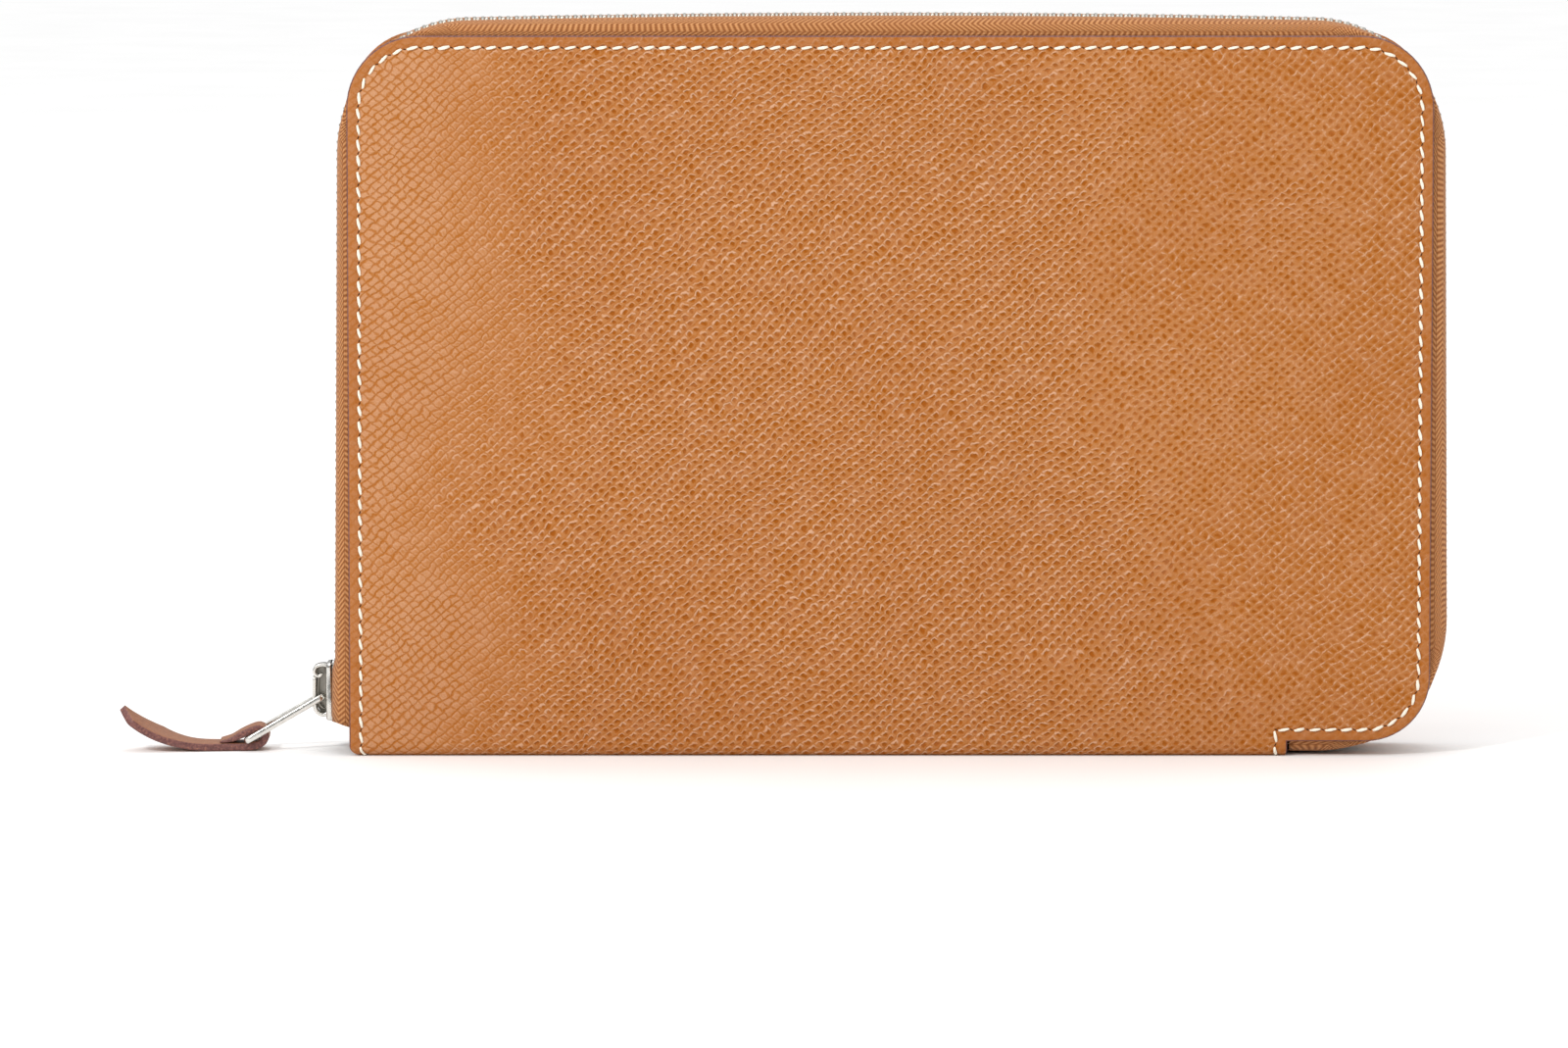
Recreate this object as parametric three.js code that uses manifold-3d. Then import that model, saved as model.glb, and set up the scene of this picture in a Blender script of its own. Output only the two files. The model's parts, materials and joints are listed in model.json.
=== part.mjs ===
// Zip-around wallet, standing closed on its spine.
// Millimetres, +Z up, +X along the spine, -Y out of the front cover. Origin: middle of the spine's underside.
// The front and back covers fold out about the two bottom edges of the spine, once the zip has been run open.
import * as THREE from "three";
import { mergeVertices } from "three/addons/utils/BufferGeometryUtils.js";
import Module from "manifold-3d";

const wasm = await Module();
wasm.setup();

// ---------------------------------------------------------------- driving dimensions
const WIDTH = 210; // along the spine
const HEIGHT = 140;
const THICKNESS = 22; // across both closed covers
const FOLD = 2.4; // height of each hinge line, and the leather's radius round it
const TOP_RADIUS = 14; // cover corners
const LOW_RADIUS = 12.5; // the flap corner beside the notch
const NOTCH_X = 77.3; // the spine ends here, and the zip runs on under the flap
const FLAP_Z = 2.9; // lower edge of the flap beyond the notch
const EASE = 0.2; // clearance at a folded edge

// layers of one cover, as depths from its outer face
const LEATHER = [0, 1.2];
const BOARD = [1.3, 2.1];
const TAPE_FLANGE = [1.3, 1.8];
const LINING = [2.2, 2.9];
const SLIP_POCKET = [3.0, 3.6];
const CARD_FIRST = 3.7;
const CARD_STEP = 0.75;
const CARD_SHEET = 0.65;
const CARD_ROWS = 4;
const CARD_TOP = 108; // mouth of the deepest card row
const CARD_DROP = 12; // each row in front of it is this much lower
const COIN_BAG = [3.0, 4.3];
const COIN_TAPE = [4.4, 4.8];
const COIN_TEETH = [3.9, 5.3];
const COIN_FRONT = [4.9, 5.6];
const BILL_POCKET = [5.7, 6.3];

// main zip
const CHAIN_HALF = 0.95; // half of the teeth's thickness
const CHAIN_RADIUS = 25; // the chain turns each corner on this radius
const CHAIN_LEFT_LOW = -107.4;
const CHAIN_LEFT_HIGH = -106.4;
const CHAIN_RIGHT_HIGH = 107.0;
const CHAIN_RIGHT_LOW = 107.9;
const CHAIN_TOP = 143.0;
const CHAIN_CROWN = 0.9; // how much the middle of the top run stands above its ends
const CHAIN_BOTTOM = 1.1;
const ROW_NEAR = 0.6; // each row of teeth reaches from here ...
const ROW_FAR = 2.1; // ... to here, measured from the middle plane
const TAPE_THICK = 0.5;

// zip slider and its pull
const SLIDER_Z = 11.65;
const SLIDER_LENGTH = 11.3;
const PULL_HINGE = [-110.6, 10.6]; // x and z of the bar inside the cap
const TAB_HINGE = [-125.3, 2.15]; // x and z of the bar inside the leather fold
const WIRE = 0.6;

// coin pocket zip
const COIN_Z = 113;
const COIN_HALF_LENGTH = 78;
const COIN_SLIDER_X = -69;

// ---------------------------------------------------------------- materials
const material = (color, roughness, metalness = 0) =>
  new THREE.MeshStandardMaterial({ color, roughness, metalness });
const OUTER = material(0xc4814e, 0.55);
const INNER = material(0xb9753f, 0.6);
const CARD = material(0xd9d2c4, 0.9);
const TAPE = material(0xb97b4d, 0.9);
const METAL = material(0xd8d8d4, 0.22, 1);
const CLOTH = material(0xcaa070, 0.95);

const wallet = new THREE.Group();

function put(name, geometry, finish) {
  const mesh = new THREE.Mesh(geometry, finish);
  mesh.name = name;
  wallet.add(mesh);
  return mesh;
}

// ---------------------------------------------------------------- solids
function box(x0, x1, y0, y1, z0, z1) {
  const g = new THREE.BoxGeometry(x1 - x0, y1 - y0, z1 - z0);
  return g.translate((x0 + x1) / 2, (y0 + y1) / 2, (z0 + z1) / 2);
}

// The points of a closed path, without any that fall on the one before.
function distinct(path, curveSegments) {
  const points = path.getPoints(curveSegments);
  return points.filter((p, i) => p.distanceTo(points[(i + points.length - 1) % points.length]) > 1e-3);
}

// An outline pushed straight along +z.
function extrude(outline, depth, curveSegments = 8) {
  const points = distinct(outline, curveSegments);
  if (THREE.ShapeUtils.isClockWise(points)) points.reverse();
  const shape = new THREE.Shape(points);
  shape.holes = outline.holes.map((hole) => new THREE.Path(distinct(hole, curveSegments)));
  return new THREE.ExtrudeGeometry(shape, { depth, bevelEnabled: false });
}

// An outline drawn in x and z, made into a plate between two values of y.
function plate(outline, yLow, yHigh, curveSegments) {
  return extrude(outline, yHigh - yLow, curveSegments).rotateX(Math.PI / 2).translate(0, yHigh, 0);
}

// A layer of the front (side -1) or back (side 1) cover, between two depths from its outer face.
function layer(outline, [near, far], side, curveSegments) {
  const outer = THICKNESS / 2 - near;
  const inner = THICKNESS / 2 - far;
  return side < 0
    ? plate(outline, -outer, -inner, curveSegments)
    : plate(outline, inner, outer, curveSegments);
}

function toSolid(geometry) {
  const bare = geometry.clone();
  bare.deleteAttribute("normal");
  bare.deleteAttribute("uv");
  const merged = mergeVertices(bare, 1e-4);
  return new wasm.Manifold(
    new wasm.Mesh({
      numProp: 3,
      vertProperties: merged.attributes.position.array,
      triVerts: new Uint32Array(merged.index.array),
    }),
  );
}

function toGeometry(solid) {
  const m = solid.getMesh();
  const g = new THREE.BufferGeometry();
  g.setAttribute("position", new THREE.BufferAttribute(m.vertProperties, 3));
  g.setIndex(new THREE.BufferAttribute(m.triVerts, 1));
  return g;
}

// first, plus every piece in add, less every piece in cut
function carve(first, add = [], cut = []) {
  let solid = toSolid(first);
  for (const g of add) solid = solid.add(toSolid(g));
  for (const g of cut) solid = solid.subtract(toSolid(g));
  return toGeometry(solid);
}

// A closed surface from points and quads, turned to face out.
function fromQuads(points, quads) {
  const index = [];
  for (const [a, b, c, d] of quads) index.push(a, b, c, a, c, d);
  let volume = 0;
  for (let i = 0; i < index.length; i += 3) {
    const [p, q, r] = [points[index[i]], points[index[i + 1]], points[index[i + 2]]];
    volume += p.dot(q.clone().cross(r));
  }
  if (volume < 0) index.reverse();
  const g = new THREE.BufferGeometry().setFromPoints(points);
  return g.setIndex(index);
}

// A strip with an outer and an inner line in each section, lofted from section to section.
function ribbon(sections) {
  const points = [];
  const m = sections[0].outer.length;
  for (const s of sections) points.push(...s.outer, ...s.inner);
  const outer = (i, k) => i * 2 * m + k;
  const inner = (i, k) => i * 2 * m + m + k;
  const last = sections.length - 1;
  const quads = [];
  for (let i = 0; i < last; i++) {
    for (let k = 0; k < m - 1; k++) {
      quads.push([outer(i, k), outer(i + 1, k), outer(i + 1, k + 1), outer(i, k + 1)]);
      quads.push([inner(i, k), inner(i, k + 1), inner(i + 1, k + 1), inner(i + 1, k)]);
    }
    quads.push([outer(i, 0), inner(i, 0), inner(i + 1, 0), outer(i + 1, 0)]);
    quads.push([outer(i, m - 1), outer(i + 1, m - 1), inner(i + 1, m - 1), inner(i, m - 1)]);
  }
  for (let k = 0; k < m - 1; k++) {
    quads.push([outer(0, k), outer(0, k + 1), inner(0, k + 1), inner(0, k)]);
    quads.push([outer(last, k), inner(last, k), inner(last, k + 1), outer(last, k + 1)]);
  }
  return fromQuads(points, quads);
}

// Round wire bent along a closed loop of points, in the plane whose normal is given.
function wireLoop(points, normal, radius, sides = 8) {
  const n = points.length;
  const rings = [];
  points.forEach((p, i) => {
    const next = points[(i + 1) % n].clone().sub(p).normalize();
    const before = p.clone().sub(points[(i + n - 1) % n]).normalize();
    const along = next.clone().add(before).normalize();
    const across = along.clone().cross(normal).normalize();
    const stretch = radius / Math.max(0.5, along.dot(next));
    for (let k = 0; k < sides; k++) {
      const a = (2 * Math.PI * k) / sides;
      rings.push(
        p
          .clone()
          .addScaledVector(across, stretch * Math.cos(a))
          .addScaledVector(normal, radius * Math.sin(a)),
      );
    }
  });
  const quads = [];
  for (let i = 0; i < n; i++)
    for (let k = 0; k < sides; k++) {
      const [j, l] = [(i + 1) % n, (k + 1) % sides];
      quads.push([i * sides + k, i * sides + l, j * sides + l, j * sides + k]);
    }
  return fromQuads(rings, quads);
}

// A closed four-sided loop in its own plane, u along the pull and v across it, with rounded corners.
function loopPoints(length, halfNear, halfFar, corner, steps = 4) {
  const shape = new THREE.Shape();
  const slope = (halfFar - halfNear) / length;
  shape.moveTo(0, -halfNear + corner);
  shape.lineTo(0, halfNear - corner);
  shape.quadraticCurveTo(0, halfNear, corner, halfNear + slope * corner);
  shape.lineTo(length - corner, halfFar - slope * corner);
  shape.quadraticCurveTo(length, halfFar, length, halfFar - corner);
  shape.lineTo(length, -halfFar + corner);
  shape.quadraticCurveTo(length, -halfFar, length - corner, -halfFar + slope * corner);
  shape.lineTo(corner, -halfNear - slope * corner);
  shape.quadraticCurveTo(0, -halfNear, 0, -halfNear + corner);
  return shape.getPoints(steps).slice(0, -1);
}

// ---------------------------------------------------------------- covers
// The cover's outline pulled in by inset on its three zipped sides, from bottom upwards.
function coverOutline(inset, bottom) {
  const [left, right] = [-WIDTH / 2 + inset, WIDTH / 2 - inset];
  const top = HEIGHT - inset;
  const r = TOP_RADIUS - inset;
  const low = LOW_RADIUS - inset;
  const flap = Math.max(FLAP_Z + inset, bottom);
  const s = new THREE.Shape();
  s.moveTo(left, bottom);
  s.lineTo(NOTCH_X - inset, bottom);
  if (flap > bottom) s.lineTo(NOTCH_X - inset, flap);
  s.lineTo(right - low, flap);
  s.absarc(right - low, flap + low, low, -Math.PI / 2, 0, false);
  s.lineTo(right, top - r);
  s.absarc(right - r, top - r, r, 0, Math.PI / 2, false);
  s.lineTo(left + r, top);
  s.absarc(left + r, top - r, r, Math.PI / 2, Math.PI, false);
  return s;
}

function panelOutline(halfWidth, bottom, top, radius = 3, low = 8) {
  const s = new THREE.Shape();
  s.moveTo(-halfWidth, bottom + low);
  s.absarc(-halfWidth + low, bottom + low, low, Math.PI, 1.5 * Math.PI, false);
  s.absarc(halfWidth - low, bottom + low, low, -Math.PI / 2, 0, false);
  s.lineTo(halfWidth, top - radius);
  s.absarc(halfWidth - radius, top - radius, radius, 0, Math.PI / 2, false);
  s.lineTo(-halfWidth + radius, top);
  s.absarc(-halfWidth + radius, top - radius, radius, Math.PI / 2, Math.PI, false);
  return s;
}

function buildCover(name, side) {
  const bottom = FOLD + EASE;
  put(`${name}_leather`, layer(coverOutline(0, bottom), LEATHER, side), OUTER);
  put(`${name}_board`, layer(coverOutline(6, bottom + 1), BOARD, side, 5), CARD);
  put(`${name}_lining`, layer(coverOutline(2.5, bottom + 0.6), LINING, side, 6), INNER);
}

// Outer leather of the spine, its stiffener and lining, and the two strips that bend at the hinge lines.
function buildSpine() {
  const left = -WIDTH / 2;
  const flat = THICKNESS / 2 - FOLD;
  put("spine_leather", box(left, NOTCH_X, -flat + EASE, flat - EASE, ...LEATHER), OUTER);
  put("spine_board", box(left + 5, NOTCH_X - 5, -7, 7, ...BOARD), CARD);
  put("spine_lining", box(left + 1.5, NOTCH_X - 1.5, -7.5, 7.5, ...LINING), INNER);
  for (const [name, side] of [
    ["front", -1],
    ["back", 1],
  ]) {
    const sections = [left, NOTCH_X].map((x) => {
      const arc = (radius) =>
        [0, 1, 2, 3, 4, 5, 6].map((i) => {
          const a = (Math.PI / 2) * (i / 6);
          return new THREE.Vector3(
            x,
            side * (flat + radius * Math.cos(a)),
            FOLD - radius * Math.sin(a),
          );
        });
      return { outer: arc(FOLD), inner: arc(FOLD - LEATHER[1]) };
    });
    put(`${name}_fold_strip`, ribbon(sections), OUTER);
  }
}

// ---------------------------------------------------------------- pockets
function buildCardSide() {
  put("front_slip_pocket", layer(panelOutline(99, 5, 124), SLIP_POCKET, -1, 4), INNER);
  for (let row = 0; row < CARD_ROWS; row++) {
    const near = CARD_FIRST + row * CARD_STEP;
    const outline = panelOutline(97, 8, CARD_TOP - row * CARD_DROP);
    put(`card_pocket_${row + 1}`, layer(outline, [near, near + CARD_SHEET], -1, 4), INNER);
  }
}

function buildCoinSide() {
  put("coin_pocket_bag", layer(panelOutline(94, 9, 107.8), COIN_BAG, 1, 3), CLOTH);
  const window = box(-COIN_HALF_LENGTH - 2, COIN_HALF_LENGTH + 2, 4, 8, COIN_Z - 4.5, COIN_Z + 4.5);
  const front = layer(panelOutline(98, 6, 131), COIN_FRONT, 1, 4);
  put("coin_pocket_front", carve(front, [], [window]), INNER);
  put("bill_pocket", layer(panelOutline(96, 7, 74), BILL_POCKET, 1, 4), INNER);
}

// ---------------------------------------------------------------- main zip
const vec = (x, z) => new THREE.Vector2(x, z);

// Matching stations along the cover's edge and along the chain, which share their outward direction.
function zipStations() {
  const inset = 0.3;
  const [left, right] = [-WIDTH / 2 + inset, WIDTH / 2 - inset];
  const top = HEIGHT - inset;
  const r = TOP_RADIUS - inset;
  const low = LOW_RADIUS - inset;
  const flap = FLAP_Z + inset;
  const R = CHAIN_RADIUS;
  const stations = [];
  const straight = (edgeA, edgeB, chainA, chainB, angle, shares, bow = 0) => {
    for (const t of shares)
      stations.push({
        edge: edgeA.clone().lerp(edgeB, t),
        chain: chainA.clone().lerp(chainB, t).add(vec(0, bow * 4 * t * (1 - t))),
        out: vec(Math.cos(angle), Math.sin(angle)),
      });
  };
  const corner = (edgeC, edgeR, chainC, from, to, steps = 9) => {
    for (let i = 0; i <= steps; i++) {
      const a = from + ((to - from) * i) / steps;
      const out = vec(Math.cos(a), Math.sin(a));
      stations.push({
        edge: edgeC.clone().addScaledVector(out, edgeR),
        chain: chainC.clone().addScaledVector(out, R),
        out,
      });
    }
  };
  const ends = CHAIN_TOP - CHAIN_CROWN;
  const sliderTop = (SLIDER_Z + SLIDER_LENGTH / 2 + 0.2 - 6.3) / (ends - R - 6.3);
  const shares = [0, sliderTop, sliderTop + 0.002, 0.4, 0.7];
  straight(vec(left, 4.8), vec(left, top - r), vec(CHAIN_LEFT_LOW, 6.3),
    vec(CHAIN_LEFT_HIGH, ends - R), Math.PI, shares);
  corner(vec(left + r, top - r), r, vec(CHAIN_LEFT_HIGH + R, ends - R), Math.PI, Math.PI / 2);
  straight(vec(left + r, top), vec(right - r, top), vec(CHAIN_LEFT_HIGH + R, ends),
    vec(CHAIN_RIGHT_HIGH - R, ends), Math.PI / 2, [0.12, 0.3, 0.5, 0.7, 0.88], CHAIN_CROWN);
  corner(vec(right - r, top - r), r, vec(CHAIN_RIGHT_HIGH - R, ends - R), Math.PI / 2, 0);
  straight(vec(right, top - r), vec(right, flap + low), vec(CHAIN_RIGHT_HIGH, ends - R),
    vec(CHAIN_RIGHT_LOW, CHAIN_BOTTOM + R), 0, [0.35, 0.7]);
  corner(vec(right - low, flap + low), low, vec(CHAIN_RIGHT_LOW - R, CHAIN_BOTTOM + R), 0, -Math.PI / 2);
  straight(vec(right - low, flap), vec(NOTCH_X + 0.6, flap), vec(CHAIN_RIGHT_LOW - R, CHAIN_BOTTOM),
    vec(NOTCH_X + 0.6, CHAIN_BOTTOM), -Math.PI / 2, [1]);
  return stations;
}

// One tape: a flange held under the leather, then a bulge out to the cord that carries the teeth.
function tapeSection(station, side, cordY) {
  const flangeY = THICKNESS / 2 - (TAPE_FLANGE[0] + TAPE_FLANGE[1]) / 2;
  const at = (share, inward, y) => {
    const p = station.edge.clone().lerp(station.chain, share);
    p.addScaledVector(station.out, -inward);
    return { p, y };
  };
  const line = [
    at(0, 5, flangeY),
    at(0, 0.2, flangeY),
    at(0.45, 0, 8.6),
    at(0.88, 0, 6.6),
    at(1, 0, 4.4),
    at(1, 0, cordY),
  ];
  const place = ({ p, y }, shift) =>
    new THREE.Vector3(
      p.x + station.out.x * shift.x,
      side * (y + shift.y),
      p.y + station.out.y * shift.x,
    );
  const span = (a, b) => vec(b.p.clone().sub(a.p).dot(station.out), b.y - a.y).normalize();
  const half = TAPE_THICK / 2;
  const [outer, inner] = [[], []];
  line.forEach((here, k) => {
    const before = k ? span(line[k - 1], here) : span(here, line[1]);
    const after = k < line.length - 1 ? span(here, line[k + 1]) : before;
    const along = before.clone().add(after).normalize();
    const shift = vec(-along.y, along.x).multiplyScalar(half / Math.max(0.7, along.dot(after)));
    outer.push(place(here, shift));
    inner.push(place(here, shift.clone().negate()));
  });
  return { outer, inner };
}

// One row of teeth as a bar along the chain.
function rowSection(station, side, near = ROW_NEAR, far = ROW_FAR, half = CHAIN_HALF) {
  const at = (y, n) =>
    new THREE.Vector3(
      station.chain.x + station.out.x * n,
      side * y,
      station.chain.y + station.out.y * n,
    );
  return { outer: [at(near, half), at(far, half)], inner: [at(near, -half), at(far, -half)] };
}

function buildZip() {
  const stations = zipStations();
  const sliderTop = SLIDER_Z + SLIDER_LENGTH / 2;
  for (const [name, side] of [
    ["front", -1],
    ["back", 1],
  ]) {
    // Beside the slider the front tape stops short, so that the front cover can leave it.
    const cord = (s) =>
      side < 0 && s.chain.x < 0 && s.chain.y < sliderTop + 0.3 ? 4.0 : ROW_FAR + 0.1;
    put(`${name}_zip_tape`, ribbon(stations.map((s) => tapeSection(s, side, cord(s)))), TAPE);
    const toothed = stations.filter((s, i) => i > 0 && i < stations.length - 1);
    const first = toothed[side < 0 ? 1 : 0].chain.clone();
    if (side > 0) first.set(CHAIN_LEFT_LOW, 8.2);
    const start = { ...stations[0], chain: first };
    const stop = { ...stations.at(-1), chain: vec(NOTCH_X + 5.3, CHAIN_BOTTOM) };
    const body = toothed.slice(side < 0 ? 2 : 0);
    const row = [start, ...body, stop].filter(
      (s, i, all) => !i || s.chain.distanceTo(all[i - 1].chain) > 0.2,
    );
    put(`${name}_teeth`, ribbon(row.map((s) => rowSection(s, side))), METAL);
    const stopEnds = [NOTCH_X + 5.0, NOTCH_X + 1.2];
    const clamp = stopEnds.map((x) =>
      rowSection({ ...stop, chain: vec(x, CHAIN_BOTTOM) }, side, ROW_NEAR, ROW_FAR, 1.0),
    );
    put(`${name}_bottom_stop`, ribbon(clamp), METAL);
  }
  const topStop = box(CHAIN_LEFT_LOW - 0.9, CHAIN_LEFT_LOW + 0.9, 0.7, ROW_FAR, 6.4, 7.7);
  put("back_top_stop", topStop, METAL);
}

// ---------------------------------------------------------------- slider, cap, pull and tab
// A slider body in its own frame: w across, t through its thickness (+ is outward), l along the chain.
// place turns those three into a geometry in the wallet's frame.
function sliderBody(place, s) {
  const outline = new THREE.Shape();
  outline.moveTo(-s.tail, s.length / 2);
  outline.lineTo(s.tail, s.length / 2);
  outline.lineTo(s.nose, -s.length / 2 + 1.6);
  outline.quadraticCurveTo(s.nose, -s.length / 2, s.nose - 1.4, -s.length / 2);
  outline.lineTo(-s.nose + 1.4, -s.length / 2);
  outline.quadraticCurveTo(-s.nose, -s.length / 2, -s.nose, -s.length / 2 + 1.6);
  outline.closePath();
  const blank = extrude(outline, s.outer + s.inner, 4).translate(0, 0, -s.inner);
  const reach = s.length;
  const channel = box(-s.channel, s.channel, -reach, reach, -s.depth, s.depth);
  const slot = box(-reach, reach, -reach, reach, -s.slot, s.slot);
  const low = -s.length / 2;
  const diamond = box(-0.4, 0.4, low + 0.5, low + 3.0, -s.depth - 0.2, s.depth + 0.2);
  const hollow = toSolid(blank).subtract(toSolid(channel)).subtract(toSolid(slot));
  return place(toGeometry(hollow.add(toSolid(diamond))));
}

// The cap that bridges the slider's outer plate, drawn as l against t and given its width across.
function sliderCap(place, s) {
  const [a, b] = [-s.length / 2 + 0.5, s.length / 2 - 0.3];
  const foot = s.outer + 0.05;
  const crown = s.outer + s.cap;
  const shape = new THREE.Shape();
  shape.moveTo(a, foot);
  shape.lineTo(a + s.leg, foot);
  shape.lineTo(a + s.leg, crown - s.roof - 0.4);
  shape.lineTo(a + s.leg + 0.4, crown - s.roof);
  shape.lineTo(b - s.leg - 0.4, crown - s.roof);
  shape.lineTo(b - s.leg, crown - s.roof - 0.4);
  shape.lineTo(b - s.leg, foot);
  shape.lineTo(b, foot);
  shape.lineTo(b, crown - 1.0);
  shape.quadraticCurveTo(b, crown, b - 1.0, crown);
  shape.lineTo(a + 1.6, crown);
  shape.quadraticCurveTo(a, crown, a, crown - 1.6);
  shape.closePath();
  const g = extrude(shape, s.capWidth, 4);
  // (l, t, w) to (w, l, t)
  g.applyMatrix4(new THREE.Matrix4().set(0, 0, 1, -s.capWidth / 2, 1, 0, 0, 0, 0, 1, 0, 0, 0, 0, 0, 1));
  return place(g);
}

const MAIN_SLIDER = {
  length: SLIDER_LENGTH,
  tail: 3.3,
  nose: 3.75,
  outer: 2.45,
  inner: 2.2,
  channel: 2.75,
  depth: 1.25,
  slot: 0.5,
  cap: 2.75,
  capWidth: 3.0,
  leg: 1.6,
  roof: 0.6,
};
const COIN_SLIDER = {
  length: 9,
  tail: 3.2,
  nose: 3.6,
  outer: 1.55,
  inner: 1.45,
  channel: 2.6,
  depth: 0.9,
  slot: 0.4,
  cap: 2.1,
  capWidth: 2.4,
  leg: 1.2,
  roof: 0.5,
};

// On the left side w is -Y, l is +Z and t is -X.
function onLeftSide(g) {
  const turn = new THREE.Matrix4().set(0, 0, -1, CHAIN_LEFT_LOW, -1, 0, 0, 0, 0, 1, 0, SLIDER_Z, 0, 0, 0, 1);
  return g.applyMatrix4(turn);
}

// On the coin pocket w is -Z, l is +X, and t is -Y, out of the pocket.
function onCoinPocket(g) {
  const y = THICKNESS / 2 - (COIN_TEETH[0] + COIN_TEETH[1]) / 2;
  const turn = new THREE.Matrix4().set(0, 1, 0, COIN_SLIDER_X, 0, 0, -1, y, -1, 0, 0, COIN_Z, 0, 0, 0, 1);
  return g.applyMatrix4(turn);
}

// Leather strip lying on the surface, turned back over the wire at one end and curling up to a point at the other.
function pullTab() {
  const [bx, bz] = TAB_HINGE;
  const thick = 1.35;
  const floor = 0.15;
  const flatEnd = -133;
  const curl = 22.6;
  const sweep = 0.86;
  const arc = (radius, a) => [flatEnd - radius * Math.sin(a), floor + curl - radius * Math.cos(a)];
  const side = new THREE.Shape();
  side.moveTo(flatEnd, floor);
  for (let i = 1; i <= 9; i++) side.lineTo(...arc(curl, (sweep * i) / 9));
  for (let i = 9; i >= 0; i--) side.lineTo(...arc(curl - thick, (sweep * i) / 9));
  side.lineTo(bx - 4.9, floor + thick + 0.05);
  side.quadraticCurveTo(bx - 2.6, bz + 1.2, bx + 1.2, bz + 3.0);
  side.bezierCurveTo(bx + 3.0, bz + 3.6, bx + 4.8, bz + 1.6, bx + 4.2, bz + 0.2);
  side.quadraticCurveTo(bx + 3.2, floor + 0.1, bx + 0.6, floor);
  const pocket = new THREE.Path();
  pocket.moveTo(bx - 2.7, floor + thick + 0.06);
  pocket.lineTo(bx + 0.6, floor + thick + 0.02);
  pocket.quadraticCurveTo(bx + 2.7, floor + thick + 0.2, bx + 2.9, bz + 0.9);
  pocket.quadraticCurveTo(bx + 2.7, bz + 2.2, bx + 1.4, bz + 1.75);
  pocket.lineTo(bx - 2.7, floor + thick + 0.2);
  side.holes.push(pocket);
  const strip = plate(side, -6, 6, 5);
  const plan = new THREE.Shape();
  plan.moveTo(-119, -3.2);
  plan.lineTo(-129, -3.2);
  plan.lineTo(-140, -5.0);
  plan.lineTo(-147.6, -5.2);
  plan.lineTo(-152, -2.2);
  plan.lineTo(-143, 5.2);
  plan.lineTo(-140, 5.0);
  plan.lineTo(-129, 3.2);
  plan.lineTo(-119, 3.2);
  const cutter = extrude(plan, 40).translate(0, 0, -20);
  return toGeometry(toSolid(strip).intersect(toSolid(cutter)));
}

function buildSlider() {
  put("slider_body", sliderBody(onLeftSide, MAIN_SLIDER), METAL);
  put("slider_cap", sliderCap(onLeftSide, MAIN_SLIDER), METAL);
  const under = CHAIN_LEFT_LOW - MAIN_SLIDER.outer - MAIN_SLIDER.cap + MAIN_SLIDER.roof;
  put("slider_lock_spring", box(under + 0.1, under + 0.4, -0.9, 0.9, SLIDER_Z - 2.8, SLIDER_Z + 3.0), METAL);
  const [ax, az] = PULL_HINGE;
  const [bx, bz] = TAB_HINGE;
  const along = new THREE.Vector3(bx - ax, 0, bz - az);
  const length = along.length();
  along.normalize();
  const wire = loopPoints(length, 2.6, 4.35, 0.9).map((p) =>
    new THREE.Vector3(ax, p.y, az).addScaledVector(along, p.x),
  );
  put("pull_loop", wireLoop(wire, new THREE.Vector3(-along.z, 0, along.x), WIRE), METAL);
  put("pull_tab", pullTab(), OUTER);
}

// ---------------------------------------------------------------- coin pocket zip
function buildCoinZip() {
  const y = (depth) => THICKNESS / 2 - depth;
  const far = COIN_HALF_LENGTH;
  const rows = { lower: -1, upper: 1 };
  for (const [name, sign] of Object.entries(rows)) {
    const z = (offset) => COIN_Z + sign * offset;
    const span = (a, b) => [Math.min(z(a), z(b)), Math.max(z(a), z(b))];
    put(`coin_tape_${name}`, box(-far, far, y(COIN_TAPE[1]), y(COIN_TAPE[0]), ...span(1.9, 9)), TAPE);
    put(`coin_teeth_${name}`, box(-far + 4, far - 4, y(COIN_TEETH[1]), y(COIN_TEETH[0]), ...span(0.6, 1.85)), METAL);
  }
  for (const [name, x] of [
    ["left", -far + 0.6],
    ["right", far - 3.6],
  ]) {
    const stop = box(x, x + 3, y(COIN_TEETH[1]), y(COIN_TEETH[0]), COIN_Z - 1.8, COIN_Z + 1.8);
    put(`coin_stop_${name}`, stop, METAL);
  }
  put("coin_slider_body", sliderBody(onCoinPocket, COIN_SLIDER), METAL);
  put("coin_slider_cap", sliderCap(onCoinPocket, COIN_SLIDER), METAL);
  const hinge = y(7.0);
  const ring = loopPoints(9, 2.1, 2.1, 1.0).map(
    (p) => new THREE.Vector3(COIN_SLIDER_X + p.x, hinge, COIN_Z + p.y),
  );
  put("coin_pull", wireLoop(ring, new THREE.Vector3(0, 1, 0), 0.45), METAL);
}

buildCover("front", -1);
buildCover("back", 1);
buildSpine();
buildCardSide();
buildCoinSide();
buildZip();
buildSlider();
buildCoinZip();

export default wallet;
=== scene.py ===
"""Looks for the zip around wallet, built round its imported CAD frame. Shapes are in millimetres."""

import json
import math

import bmesh
import bpy
import numpy as np
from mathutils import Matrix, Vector, geometry


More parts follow.
